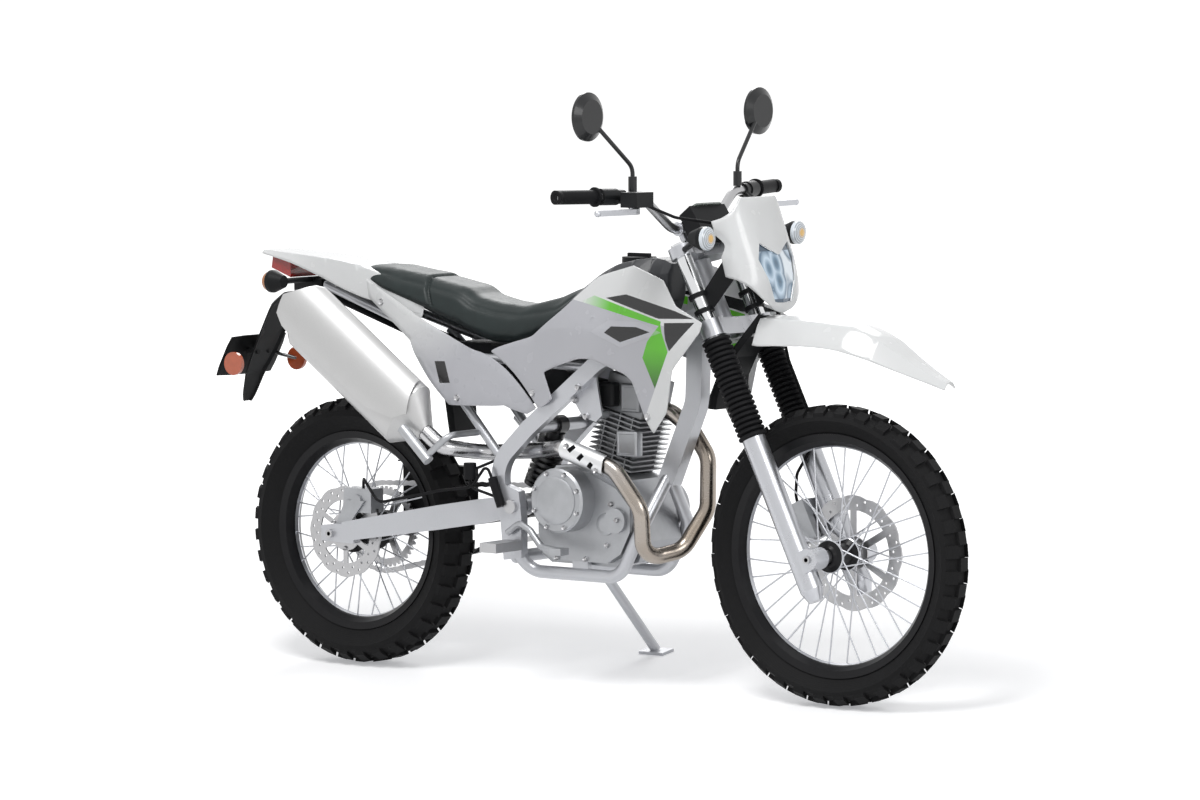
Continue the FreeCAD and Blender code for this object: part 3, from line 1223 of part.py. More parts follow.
def signal_lamp(face, direction, radius, depth):
    """A round signal lamp: a tapered body with a domed lens, its face towards the direction."""
    back = face - direction * depth
    body = cone(back, face - direction * (0.35 * depth), 0.55 * radius, radius)
    rim = rod(face - direction * (0.35 * depth), face - direction * (0.15 * depth), radius)
    dome = cone(face - direction * (0.15 * depth), face, radius, 0.75 * radius)
    return fused([body, rim, dome])


def front_signals():
    face = fork_point(SIGNAL_ALONG, -SIGNAL_SIDE, LOWER_CLAMP_HEIGHT + SIGNAL_HEIGHT)
    lamp = signal_lamp(face, ALONG, SIGNAL_RADIUS, SIGNAL_DEPTH)
    root = fork_point(0, -LEG_SPACING / 2, UPPER_CLAMP_HEIGHT)
    stalk = seated_post(face - ALONG * (0.6 * SIGNAL_DEPTH), root, SIGNAL_STALK_RADIUS, fork_clamps())
    tube = rod(fork_point(0, -LEG_SPACING / 2, LOWER_CLAMP_HEIGHT), fork_point(0, -LEG_SPACING / 2,
                                                                               FORK_TUBE_TOP),
               FORK_TUBE_RADIUS + CLAMP_WALL / 2)
    outer = max(stalk.cut(tube).Solids, key=lambda solid: solid.Volume)
    return both_sides(fused([lamp, outer]))


def instrument():
    base = fork_point(FORK_TUBE_RADIUS / 2, 0, UPPER_CLAMP_HEIGHT + UPPER_CLAMP_THICKNESS / 2 + RUNNING_GAP)
    tall = 1.6 * BAR_RISER_HEIGHT
    half = BAR_CLAMP_WIDTH * 0.75
    outline = [base - at(0, half, 0), base + FORK_AHEAD * (0.6 * tall) - at(0, half, 0),
               base + FORK_AHEAD * (0.45 * tall) + FORK_UP * tall - at(0, half, 0),
               base + FORK_UP * (0.9 * tall) - at(0, half, 0)]
    return prism(outline, at(0, 2 * half, 0))


def front_caliper():
    """A caliper behind the left fork leg, astride the disc."""
    half = 1.1 * LEG_RADIUS
    centre = fork_point(-LEG_RADIUS - RUNNING_GAP - half, FRONT_DISC_SIDE + DISC_THICKNESS / 2,
                        0.86 * FRONT_DISC_RADIUS)
    body = block(ORIGIN, 2 * half, 2 * LEG_RADIUS, 3.4 * LEG_RADIUS)
    body.rotate(ORIGIN, ACROSS, -RAKE_ANGLE)
    body.translate(centre)
    slot = hollow_rod(FRONT_AXLE + at(0, FRONT_DISC_SIDE - DISC_THICKNESS, 0),
                      FRONT_AXLE + at(0, FRONT_DISC_SIDE + 2 * DISC_THICKNESS, 0),
                      FRONT_DISC_RADIUS + DISC_THICKNESS, FRONT_DISC_INNER_RADIUS / 2)
    return body.cut(slot)


def fork_places(rows, side):
    """Places beside a fork tube: ahead of it, share of its distance from the middle, height along it."""
    return [fork_point(ahead, side * share, height) for ahead, share, height in rows]


def front_hose():
    """Brake hose from the fluid box, across behind the lamp and down the left leg to the caliper."""
    centre = lever_pivot() + at(RESERVOIR_AHEAD, -RESERVOIR_INSET, RESERVOIR_LIFT)
    start = centre + at(0, RESERVOIR_LENGTH / 4, -RESERVOIR_HEIGHT / 4)
    over = [bar_centre() + at(ahead, side, rise) for ahead, side, rise in FRONT_HOSE_TOP]
    points = [start] + over + fork_places(FRONT_HOSE_RUN, LEG_SPACING / 2)
    hose = bent_tube(points, HOSE_RADIUS, HOSE_BEND).cut([hand_controls(), front_caliper()])
    return max(hose.Solids, key=lambda solid: solid.Volume)


def front_mudguard():
    """The inner guard between the fork legs, hung below the fender's rear edge."""
    stations = [(LOWER_CLAMP + at(ahead, 0, -drop), half) for ahead, drop, half in GUARD_PLACES]
    shell = gutter(stations, MUDGUARD_WALL, 2 * MUDGUARD_WALL).cut([front_fender(), fork_clamps(),
                                                                    fork_boots()])
    return max(shell.Solids, key=lambda solid: solid.Volume)


# Chassis
def head_tube():
    low = fork_point(-STEM_SETBACK, 0, HEAD_TUBE_BOTTOM)
    high = fork_point(-STEM_SETBACK, 0, HEAD_TUBE_TOP)
    return low, high


def from_pivot(ahead, side, above):
    return at(PIVOT_X + ahead, side, PIVOT_HEIGHT + above)


def frame_side():
    """The right hand spar, pivot plate and cradle tube."""
    low, high = head_tube()
    rise = high - low
    neck = low + rise * 0.2 - at(0.3 * HEAD_TUBE_RADIUS, SPAR_HEAD_SIDE / 2, 0)
    points = [neck, from_pivot(SPAR_SHOULDER_AHEAD, -SPAR_SIDE, SPAR_SHOULDER_ABOVE),
              from_pivot(SPAR_KNEE_AHEAD, -SPAR_SIDE, SPAR_KNEE_ABOVE),
              from_pivot(SPAR_BACK_AHEAD, -SPAR_SIDE, SPAR_BACK_ABOVE),
              from_pivot(SPAR_FOOT_AHEAD, -SPAR_SIDE, SPAR_FOOT_ABOVE)]
    spar = bent_bar(points, SPAR_WIDTH, SPAR_DEPTH, SPAR_BEND)
    outer = SPAR_SIDE + SPAR_WIDTH / 2
    boss = rod(from_pivot(0, -outer, 0), from_pivot(0, -outer + SPAR_WIDTH, 0), PIVOT_BOSS_RADIUS)
    reach = PIVOT_BOSS_RADIUS
    plate = prism([from_pivot(-1.5 * reach, -outer, 2.2 * reach), from_pivot(0.8 * reach, -outer,
                                                                             1.4 * reach),
                   from_pivot(1.1 * reach, -outer, -reach), from_pivot(CRADLE_REAR_AHEAD + reach, -outer,
                                                                       CRADLE_REAR_ABOVE),
                   from_pivot(CRADLE_REAR_AHEAD - reach, -outer, CRADLE_REAR_ABOVE - 0.3 * reach),
                   from_pivot(-1.3 * reach, -outer, -reach)], at(0, SPAR_WIDTH, 0))
    cradle = bent_tube([from_pivot(CRADLE_REAR_AHEAD, -SPAR_SIDE, CRADLE_REAR_ABOVE + CRADLE_RADIUS),
                        from_pivot(CRADLE_LOW_AHEAD, -CRADLE_SIDE, CRADLE_LOW_ABOVE),
                        from_pivot(CRADLE_FRONT_AHEAD, -CRADLE_SIDE, CRADLE_FRONT_ABOVE),
                        from_pivot(CRADLE_TOP_AHEAD, -CRADLE_SIDE, CRADLE_TOP_ABOVE),
                        from_pivot(DOWN_TUBE_FOOT_AHEAD, 0, DOWN_TUBE_FOOT_ABOVE + CRADLE_RADIUS)],
                       CRADLE_RADIUS, CRADLE_BEND)
    return fused([spar, boss, plate, cradle])


def engine_hanger():
    """The plate from the spar down to the cylinder, with the boss that seats on it."""
    inner = SPAR_SIDE - SPAR_WIDTH / 2
    plate = prism([from_pivot(ahead, -inner - 2 * RUNNING_GAP, above) for ahead, above in HANGER_PLACES],
                  at(0, HANGER_WALL, 0))
    place = from_pivot(HANGER_BOSS_AHEAD, -inner, HANGER_BOSS_ABOVE)
    boss = rod(place, place + at(0, inner, 0), HANGER_BOSS_RADIUS).cut(cylinder())
    outer = min(boss.Solids, key=lambda solid: solid.BoundBox.YMin)
    return fused([plate, outer])


def main_frame():
    low, high = head_tube()
    head = rod(low, high, HEAD_TUBE_RADIUS)
    foot = from_pivot(DOWN_TUBE_FOOT_AHEAD, 0, DOWN_TUBE_FOOT_ABOVE)
    down = bent_bar([low + (high - low) * 0.42 - at(1.25 * HEAD_TUBE_RADIUS, 0, 0),
                     foot + (low - foot) * 0.5 + at(CUT_OVERRUN, 0,
                                                    0), foot], DOWN_TUBE_WIDTH, DOWN_TUBE_DEPTH, SPAR_BEND)
    side = frame_side()
    bridge = rod(from_pivot(SPAR_KNEE_AHEAD, -SPAR_SIDE, SPAR_KNEE_ABOVE),
                 from_pivot(SPAR_KNEE_AHEAD, SPAR_SIDE, SPAR_KNEE_ABOVE), CRADLE_RADIUS)
    hanger = engine_hanger()
    lower_bridge = rod(from_pivot(CRADLE_REAR_AHEAD, -SPAR_SIDE, CRADLE_REAR_ABOVE),
                       from_pivot(CRADLE_REAR_AHEAD, SPAR_SIDE, CRADLE_REAR_ABOVE), CRADLE_RADIUS)
    lug_top = PIVOT_HEIGHT - CASE_DROP + SIDE_CASE_FLOOR_SHARE * CASE_HEIGHT - RUNNING_GAP
    lug_foot = PIVOT_HEIGHT + CRADLE_FRONT_ABOVE
    lug = block(from_pivot(ENGINE_LUG_AHEAD, -CRADLE_SIDE + CRADLE_RADIUS / 3,
                           (lug_top + lug_foot) / 2 - PIVOT_HEIGHT),
                ENGINE_LUG_LENGTH, CRADLE_RADIUS, lug_top - lug_foot)
    whole = fused([head, down, side, mirrored(side), bridge, lower_bridge, lug, mirrored(lug),
                   hanger, mirrored(hanger), stand_bracket()])
    reach = FORK_UP * CUT_OVERRUN
    bore = rod(low - reach, high + reach, STEM_RADIUS + 3 * RUNNING_GAP)
    pivot_bore = rod(from_pivot(0, -2 * SPAR_SIDE, 0), from_pivot(0, 2 * SPAR_SIDE, 0),
                     PIVOT_BORE_RADIUS + RUNNING_GAP / 3)
    return whole.cut([bore, pivot_bore])


def subframe():
    rail = bent_tube([from_pivot(SUBFRAME_FRONT_AHEAD, -SUBFRAME_SIDE, SUBFRAME_FRONT_ABOVE),
                      from_pivot(SUBFRAME_MID_AHEAD, -SUBFRAME_SIDE, SUBFRAME_MID_ABOVE),
                      from_pivot(SUBFRAME_TAIL_AHEAD, -SUBFRAME_SIDE / 2, SUBFRAME_TAIL_ABOVE)],
                     SUBFRAME_RADIUS, SUBFRAME_BEND)
    strut = bent_tube([from_pivot(SUBFRAME_STRUT_AHEAD, -SUBFRAME_SIDE, SUBFRAME_STRUT_ABOVE),
                       from_pivot((SUBFRAME_STRUT_AHEAD + SUBFRAME_JOIN_AHEAD) / 2, -SUBFRAME_SIDE,
                                  (SUBFRAME_STRUT_ABOVE + SUBFRAME_JOIN_ABOVE) / 2 + SUBFRAME_RADIUS),
                       from_pivot(SUBFRAME_JOIN_AHEAD, -0.8 * SUBFRAME_SIDE, SUBFRAME_JOIN_ABOVE)],
                      SUBFRAME_RADIUS, SUBFRAME_BEND)
    side = fused([rail, strut])
    bridge = rod(from_pivot(SUBFRAME_TAIL_AHEAD, -SUBFRAME_SIDE / 2, SUBFRAME_TAIL_ABOVE),
                 from_pivot(SUBFRAME_TAIL_AHEAD, SUBFRAME_SIDE / 2, SUBFRAME_TAIL_ABOVE), SUBFRAME_RADIUS)
    return fused([side, mirrored(side), bridge])


def arm_point(share, side, rise):
    """A place along the swingarm's middle line, with its rise above that line."""
    return REAR_AXLE + (PIVOT - REAR_AXLE) * share + at(0, side, rise)


def swingarm_side():
    rings = []
    for share, side, width, depth in ARM_FORM_SHARES:
        middle = -side * ARM_SIDE
        half = width * ARM_WIDTH / 2
        tall = depth * ARM_DEPTH / 2
        rings.append([arm_point(share, middle - half, -tall), arm_point(share, middle + half, -tall),
                      arm_point(share, middle + half, tall), arm_point(share, middle - half, tall)])
    arm = ruled_loft(rings)
    outer = -ARM_SIDE - ARM_WIDTH / 2
    half_tail = ARM_TAIL_DEPTH / 2
    tail_box = prism([at(-ARM_TAIL_LENGTH / 2, outer, REAR_TYRE_RADIUS - 0.8 * half_tail),
                      at(1.1 * ARM_TAIL_LENGTH, outer, REAR_TYRE_RADIUS - 0.9 * half_tail),
                      at(1.1 * ARM_TAIL_LENGTH, outer, REAR_TYRE_RADIUS + 1.2 * half_tail),
                      at(-ARM_TAIL_LENGTH / 2, outer, REAR_TYRE_RADIUS + 0.8 * half_tail)], at(0, ARM_WIDTH,
                                                                                               0))
    middle = -ARM_FORM_SHARES[-1][1] * ARM_SIDE
    boss = rod(PIVOT + at(0, middle - ARM_WIDTH / 2, 0), PIVOT + at(0, middle + ARM_WIDTH / 2, 0),
               ARM_PIVOT_RADIUS)
    return fused([arm, tail_box, boss])


def swingarm():
    side = swingarm_side()
    share = 1 - ARM_BRIDGE_REACH / PIVOT_X
    bridge = prism([arm_point(share, -0.8 * ARM_SIDE, -0.4 * ARM_DEPTH),
                    arm_point(share + ARM_BRIDGE_LENGTH / PIVOT_X, -0.8 * ARM_SIDE, -0.4 * ARM_DEPTH),
                    arm_point(share + ARM_BRIDGE_LENGTH / PIVOT_X, -0.8 * ARM_SIDE, 0.4 * ARM_DEPTH),
                    arm_point(share, -0.8 * ARM_SIDE, 0.4 * ARM_DEPTH)], at(0, 1.6 * ARM_SIDE, 0))
    whole = fused([side, mirrored(side), bridge])
    axle_bore = rod(REAR_AXLE - at(0, 2 * ARM_SIDE, 0), REAR_AXLE + at(0, 2 * ARM_SIDE, 0), REAR_AXLE_RADIUS)
    pivot_bore = rod(PIVOT - at(0, 2 * ARM_SIDE, 0), PIVOT + at(0, 2 * ARM_SIDE, 0),
                     PIVOT_BORE_RADIUS + RUNNING_GAP / 3)
    return whole.cut([axle_bore, pivot_bore])


def pivot_bolt():
    half = SPAR_SIDE + SPAR_WIDTH / 2
    bolt = rod(PIVOT - at(0, half, 0), PIVOT + at(0, half, 0), PIVOT_BORE_RADIUS)
    heads = [rod(PIVOT + at(0, hand * half, 0), PIVOT + at(0, hand * (half + PIVOT_BORE_RADIUS), 0),
                 2 * PIVOT_BORE_RADIUS) for hand in (-1, 1)]
    return fused([bolt] + heads)


# Suspension unit


def shock_absorber():
    foot = from_pivot(SHOCK_FOOT_AHEAD, 0, SHOCK_FOOT_ABOVE)
    top = from_pivot(SPAR_KNEE_AHEAD, 0, SPAR_KNEE_ABOVE)
    run = top - foot
    body = rod(foot + run * 0.3, foot + run * 0.93, SHOCK_RADIUS)
    shaft = rod(foot, foot + run * 0.34, 0.55 * SHOCK_RADIUS)
    collars = [rod(foot + run * 0.3, foot + run * 0.34, SPRING_RADIUS),
               rod(foot + run * 0.8, foot + run * 0.84, SPRING_RADIUS)]
    pitch = 0.46 / SPRING_TURN_COUNT
    coils = []
    for turn in range(SPRING_TURN_COUNT):
        centre = foot + run * (0.34 + pitch * (turn + 0.5))
        coils.append(rod(centre - run * (pitch * SPRING_WIRE_SHARE / 2),
                         centre + run * (pitch * SPRING_WIRE_SHARE / 2),
                         SPRING_RADIUS))
    eyes = [rod(foot - at(0, SHOCK_EYE_RADIUS, 0), foot + at(0, SHOCK_EYE_RADIUS, 0), SHOCK_EYE_RADIUS),
            rod(top - at(0, SHOCK_EYE_RADIUS, 0), top + at(0, SHOCK_EYE_RADIUS, 0), 1.5 * SHOCK_EYE_RADIUS)]
    unit = fused([body, shaft] + collars + coils + eyes)
    reach = at(0, 2 * SHOCK_EYE_RADIUS, 0)
    return unit.cut(rod(top - reach, top + reach, CRADLE_RADIUS + RUNNING_GAP))


# Engine


def case_points(shares, side):
    return side_outline(from_pivot(CASE_SETFORWARD, 0, -CASE_DROP), CASE_LENGTH, CASE_HEIGHT, shares, side)


def engine_case():
    half = CASE_HALF_WIDTH - COVER_THICKNESS
    case = prism(case_points(CASE_SHARES, -half), at(0, 2 * half, 0))
    return case.cut(cylinder_slab(0, 0.6 * CYLINDER_HEIGHT, CYLINDER_DEPTH, 2 * CYLINDER_WIDTH))


def engine_covers():
    """Side cases with the clutch and filter covers on the right and the generator cover on the left."""
    inner = CASE_HALF_WIDTH - COVER_THICKNESS
    right_case = prism(case_points(SIDE_CASE_SHARES, -inner), at(0, -COVER_THICKNESS, 0))
    clutch = from_pivot(CLUTCH_FORWARD, 0, CLUTCH_HEIGHT)
    drum = rod(clutch - at(0, CASE_HALF_WIDTH - CUT_OVERRUN, 0),
               clutch - at(0, CLUTCH_COVER_SIDE - CUT_OVERRUN, 0),
               CLUTCH_COVER_RADIUS)
    crown = cone(clutch - at(0, CLUTCH_COVER_SIDE - CUT_OVERRUN, 0), clutch - at(0, CLUTCH_COVER_SIDE, 0),
                 CLUTCH_COVER_RADIUS, CLUTCH_COVER_RADIUS - CUT_OVERRUN)
    dish = rod(clutch - at(0, CLUTCH_COVER_SIDE - 0.5 * CUT_OVERRUN, 0),
               clutch - at(0, CLUTCH_COVER_SIDE + CUT_OVERRUN, 0), 0.72 * CLUTCH_COVER_RADIUS)
    oil_filter = from_pivot(FILTER_FORWARD, 0, -FILTER_DROP)
    cap = rod(oil_filter - at(0, CASE_HALF_WIDTH - CUT_OVERRUN, 0),
              oil_filter - at(0, CASE_HALF_WIDTH + 2 * CUT_OVERRUN, 0),
              FILTER_COVER_RADIUS)
    right = fused([right_case, drum, crown.cut(dish), cap])
    left_case = prism(case_points(SIDE_CASE_SHARES, inner), at(0, COVER_THICKNESS, 0))
    generator = from_pivot(CLUTCH_FORWARD + 0.35 * CASE_LENGTH, 0, CLUTCH_HEIGHT - 0.12 * CASE_HEIGHT)
    bell = rod(generator + at(0, CASE_HALF_WIDTH - CUT_OVERRUN, 0),
               generator + at(0, CASE_HALF_WIDTH + COVER_THICKNESS, 0),
               0.9 * CLUTCH_COVER_RADIUS)
    left = fused([left_case, bell])
    room = CHAIN_CLEARANCE + CHAIN_DEPTH + 4 * CHAIN_CLEARANCE
    start = inner - CUT_OVERRUN
    hollow = Part.Face(belt_wire(SPROCKET_RADIUS - CHAIN_DEPTH + room, FRONT_SPROCKET_RADIUS + room, start))
    hollow = hollow.extrude(at(0, CASE_HALF_WIDTH, 0))
    return Part.makeCompound([right, left.cut(hollow)])


def cylinder_axis(rise, ahead=0.0, side=0.0):
    """A place on the tilted cylinder: up along its axis, ahead of it and to its left."""
    angle = math.radians(CYLINDER_ANGLE)
    base = from_pivot(CYLINDER_FORWARD, 0, CYLINDER_LIFT)
    return base + at(rise * math.sin(angle) + ahead * math.cos(angle), side,
                     rise * math.cos(angle) - ahead * math.sin(angle))


def cylinder_slab(low, high, depth, width):
    corners = [cylinder_axis(low, -depth / 2, -width / 2), cylinder_axis(low, depth / 2, -width / 2),
               cylinder_axis(low, depth / 2, width / 2), cylinder_axis(low, -depth / 2, width / 2)]
    return prism(corners, cylinder_axis(high) - cylinder_axis(low))


def cylinder():
    """Finned barrel and head."""
    core = cylinder_slab(0, CYLINDER_HEIGHT, CYLINDER_DEPTH - 2 * FIN_DEPTH, CYLINDER_WIDTH - 2 * FIN_DEPTH)
    pitch = CYLINDER_HEIGHT / FIN_COUNT
    fins = [cylinder_slab(pitch * (k + 0.5), pitch * (k + 0.5) + FIN_THICKNESS, CYLINDER_DEPTH,
                          CYLINDER_WIDTH)
            for k in range(FIN_COUNT)]
    head = cylinder_slab(CYLINDER_HEIGHT, CYLINDER_HEIGHT + HEAD_COVER_HEIGHT, HEAD_COVER_DEPTH,
                         HEAD_COVER_WIDTH)
    ribs = [cylinder_rib(share * CYLINDER_DEPTH) for share in RIB_SHARES]
    return fused([core] + fins + ribs + [head])


def cylinder_rib(ahead):
    """A thin wall across the fins that ties them together."""
    half = FIN_THICKNESS / 2
    wide = CYLINDER_WIDTH / 2 - FIN_THICKNESS
    corners = [cylinder_axis(0, ahead - half, -wide), cylinder_axis(0, ahead + half, -wide),
               cylinder_axis(0, ahead + half, wide), cylinder_axis(0, ahead - half, wide)]
    return prism(corners, cylinder_axis(CYLINDER_HEIGHT) - cylinder_axis(0))


# Intake
def airbox():
    box_low = from_pivot(-AIRBOX_SETBACK, 0, AIRBOX_LIFT)
    half = AIRBOX_HALF_WIDTH
    outline = [box_low, box_low + at(AIRBOX_LENGTH, 0, 0), box_low + at(AIRBOX_LENGTH, 0,
                                                                        0.75 * AIRBOX_HEIGHT),
               box_low + at(0.4 * AIRBOX_LENGTH, 0, AIRBOX_HEIGHT), box_low + at(-0.1 * AIRBOX_LENGTH, 0,
                                                                                 AIRBOX_HEIGHT)]
    return prism([p - at(0, half * 0.6, 0) for p in outline], at(0, 1.2 * half, 0))


def carburettor():
    rise = CYLINDER_HEIGHT + 0.3 * HEAD_COVER_HEIGHT
    port = cylinder_axis(rise, -HEAD_COVER_DEPTH / 2 - RUNNING_GAP)
    box_face = from_pivot(AIRBOX_LENGTH - AIRBOX_SETBACK - CUT_OVERRUN, 0, AIRBOX_LIFT + 0.4 * AIRBOX_HEIGHT)
    duct = bent_tube([box_face, box_face + at(CARBURETTOR_LENGTH, 0, 0),
                      cylinder_axis(rise, -HEAD_COVER_DEPTH / 2 - CARBURETTOR_LENGTH / 2), port],
                     INTAKE_RADIUS, 2 * INTAKE_RADIUS)
    middle = box_face + at(CARBURETTOR_LENGTH, 0, 0)
    body = rod(middle - at(0, CARBURETTOR_RADIUS * 1.2, 0), middle + at(0, CARBURETTOR_RADIUS * 1.2, 0),
               CARBURETTOR_RADIUS)
    return fused([duct, body])


def pipe_points():
    """The route from the head's port round the front and along the right side to the muffler's nose."""
    route = [from_pivot(a * PIPE_REACH, s * PIPE_SIDE, h * PIPE_RISE) for a, s, h in PIPE_ROUTE_SHARES]
    nose, run = muffler_nose()
    last = [nose + run * (3 * PIPE_RADIUS), nose + run * RUNNING_GAP]
    return [exhaust_port(RUNNING_GAP), exhaust_port(1.5 * PIPE_RADIUS)] + route + last


def exhaust_port(ahead):
    return cylinder_axis(CYLINDER_HEIGHT + 0.25 * HEAD_COVER_HEIGHT, HEAD_COVER_DEPTH / 2 + ahead, PORT_SIDE)


def exhaust_pipe():
    return bent_tube(pipe_points(), PIPE_RADIUS, PIPE_BEND)


def pipe_shield():
    """A half round shield that stands off the upper run of the pipe."""
    start, end = pipe_points()[8:10]
    run = end - start
    first = start + run * SHIELD_FROM_SHARE
    last = start + run * SHIELD_TO_SHARE
    inner = PIPE_RADIUS + SHIELD_STANDOFF
    shell = hollow_rod(first, last, inner + SHIELD_WALL, inner)
    slab = prism([first + at(0, -inner / 4, -3 * inner), last + at(0, -inner / 4, -3 * inner),
                  last + at(0, -inner / 4, 3 * inner), first + at(0, -inner / 4, 3 * inner)], at(0,
                                                                                                 -3 * inner, 0))
    out = at(0, -1, 0)
    posts = [rod(start + run * share + out * (PIPE_RADIUS + RUNNING_GAP),
                 start + run * share + out * (inner + SHIELD_WALL / 2),
                 POST_RADIUS) for share in SHIELD_POST_SHARES]
    return fused([shell.common(slab)] + posts)


def muffler_axis():
    rear = from_pivot(-MUFFLER_REAR_SETBACK, -MUFFLER_SIDE, MUFFLER_REAR_LIFT)
    angle = math.radians(MUFFLER_ANGLE)
    return rear, at(math.cos(angle), 0, -math.sin(angle))


def muffler_nose():
    rear, run = muffler_axis()
    return rear + run * (MUFFLER_LENGTH + MUFFLER_NOSE_LENGTH), run


def muffler_ring(reach, tall, wide):
    """An oval line round the muffler's axis at a distance along it."""
    rear, run = muffler_axis()
    centre = rear + run * reach
    up = at(-run.z, 0, run.x)
    return Part.Wire(Part.Ellipse(centre + up * tall, centre + ACROSS * wide, centre).toShape())


def oval_run(low, high, tall, wide):
    run = muffler_axis()[1]
    return Part.Face(muffler_ring(low, tall, wide)).extrude(run * (high - low))


def muffler():
    """An oval can with a tapered cap, a nose that narrows to the pipe and the outlet at the rear."""
    rear, run = muffler_axis()
    cap = MUFFLER_CAP_LENGTH
    can = oval_run(cap, MUFFLER_LENGTH, MUFFLER_HALF_HEIGHT, MUFFLER_RADIUS)
    rear_cap = Part.makeLoft([muffler_ring(0, MUFFLER_CAP_SHARE * MUFFLER_HALF_HEIGHT,
                                           MUFFLER_CAP_SHARE * MUFFLER_RADIUS),
                              muffler_ring(cap, MUFFLER_HALF_HEIGHT, MUFFLER_RADIUS)], True, True)
    end = 1.15 * PIPE_RADIUS
    nose = Part.makeLoft([muffler_ring(MUFFLER_LENGTH, MUFFLER_HALF_HEIGHT, MUFFLER_RADIUS),
                          muffler_ring(MUFFLER_LENGTH + MUFFLER_NOSE_LENGTH, end,
                                       end - RUNNING_GAP)], True, True)
    outlet = hollow_rod(rear - run * (0.5 * PIPE_RADIUS), rear + run * PIPE_RADIUS, 0.8 * PIPE_RADIUS,
                        0.65 * PIPE_RADIUS)
    return fused([can, rear_cap, nose, outlet])


def muffler_cover():
    """A pressed cover that wraps the outside of the can."""
    rear, run = muffler_axis()
    tall = MUFFLER_HALF_HEIGHT + MUFFLER_COVER_GAP
    wide = MUFFLER_RADIUS + MUFFLER_COVER_GAP
    wall = MUFFLER_COVER_WALL
    low = -MUFFLER_RADIUS
    high = 1.4 * MUFFLER_LENGTH
    shell = oval_run(low, high, tall + wall, wide + wall).cut(oval_run(low - wall, high + wall, tall, wide))
    outer = MUFFLER_SIDE + 2 * MUFFLER_RADIUS
    corner = from_pivot(-MUFFLER_COVER_SETBACK, -outer, MUFFLER_COVER_LIFT)
    trim = prism([corner + at(a * MUFFLER_COVER_LENGTH, 0, b * MUFFLER_COVER_HEIGHT) for a,
                  b in MUFFLER_COVER_SHARES],
                 at(0, outer - MUFFLER_SIDE - 0.1 * MUFFLER_RADIUS, 0))
    out = at(0, -1, 0)
    posts = [rod(rear + run * (share * MUFFLER_LENGTH) + out * (MUFFLER_RADIUS + RUNNING_GAP),
                 rear + run * (share * MUFFLER_LENGTH) + out * (wide + wall / 2), POST_RADIUS)
             for share in MUFFLER_POST_SHARES]
    return fused([shell.common(trim)] + posts)


# Tank, seat and panels
def form_sections(corner, length, height, half_width, shares):
    return [pillow_section(corner.x + along * length, width * half_width, corner.z + low * height,
                           corner.z + high * height) for along, low, high, width in shares]


def fuel_tank():
    corner = from_pivot(TANK_FORWARD, 0, TANK_LIFT)
    rings = []
    for ring in form_sections(corner, TANK_LENGTH, TANK_HEIGHT, TANK_HALF_WIDTH, TANK_FORM_SHARES):
        rings.append(ring)
    return ruled_loft(rings)


def fuel_cap():
    base = from_pivot(CAP_FORWARD, 0, CAP_LIFT)
    lid = rod(base, base + at(0, 0, CAP_HEIGHT), CAP_RADIUS)
    grip = block(base + at(0, 0, CAP_HEIGHT), 1.5 * CAP_RADIUS, 0.3 * CAP_RADIUS, 0.6 * CAP_HEIGHT)
    return fused([lid, grip]).cut(fuel_tank())


def tank_shroud():
    corner = from_pivot(-SHROUD_SETBACK, 0, SHROUD_LIFT)
    panel = side_panel(corner, SHROUD_LENGTH, SHROUD_HEIGHT, SHROUD_HALF_WIDTH, SHROUD_SHARES,
                       SHROUD_FORM_SHARES,
                       SHROUD_LEVEL_SHARES, PANEL_WALL)
    tank = fuel_tank()
    posts = [seated_post(from_pivot(ahead, -outer, above), from_pivot(ahead, -0.8 * TANK_HALF_WIDTH, above),
                         POST_RADIUS, tank) for ahead, outer, above in SHROUD_POSTS]
    return fused([panel] + posts)


def tank_shrouds():
    return both_sides(tank_shroud())


def side_cover():
    corner = from_pivot(-SIDE_COVER_SETBACK, 0, SIDE_COVER_LIFT)
    panel = side_panel(corner, SIDE_COVER_LENGTH, SIDE_COVER_HEIGHT, SIDE_COVER_HALF_WIDTH, SIDE_COVER_SHARES,
                       SIDE_COVER_FORM_SHARES, SIDE_COVER_LEVEL_SHARES, PANEL_WALL)
    rails = subframe()
    posts = [seated_post(from_pivot(ahead, -outer, above),
                         from_pivot(ahead, -SUBFRAME_SIDE + SUBFRAME_RADIUS / 2, above),
                         POST_RADIUS, rails) for ahead, outer, above in SIDE_COVER_POSTS]
    return fused([panel] + posts)


def side_covers():
    return both_sides(side_cover())


def seat():
    corner = from_pivot(-SEAT_SETBACK, 0, SEAT_LIFT)
    cushion = ruled_loft(form_sections(corner, SEAT_LENGTH, SEAT_HEIGHT, SEAT_HALF_WIDTH, SEAT_FORM_SHARES))
    return cushion.cut([fuel_tank(), tail_fender()])


def tail_fender():
    corner = from_pivot(-TAIL_SETBACK, 0, TAIL_LIFT)
    rows = []
    for along, low, high, width in TAIL_FORM_SHARES:
        x = corner.x + along * TAIL_LENGTH
        half = width * TAIL_HALF_WIDTH
        bottom = corner.z + low * TAIL_HEIGHT
        top = corner.z + high * TAIL_HEIGHT
        rows.append([at(x, -half, bottom), at(x, -0.85 * half, top), at(x, 0.85 * half, top),
                     at(x, half, bottom)])
    shell = wall_loft(rows, at(0, 0, -PANEL_WALL))
    foot = from_pivot(-TAIL_POST_SETBACK, -TAIL_POST_SIDE, TAIL_POST_LIFT)
    post = seated_post(foot + at(0, 0, TAIL_POST_HEIGHT), foot, POST_RADIUS, subframe())
    return fused([shell, post, mirrored(post)])


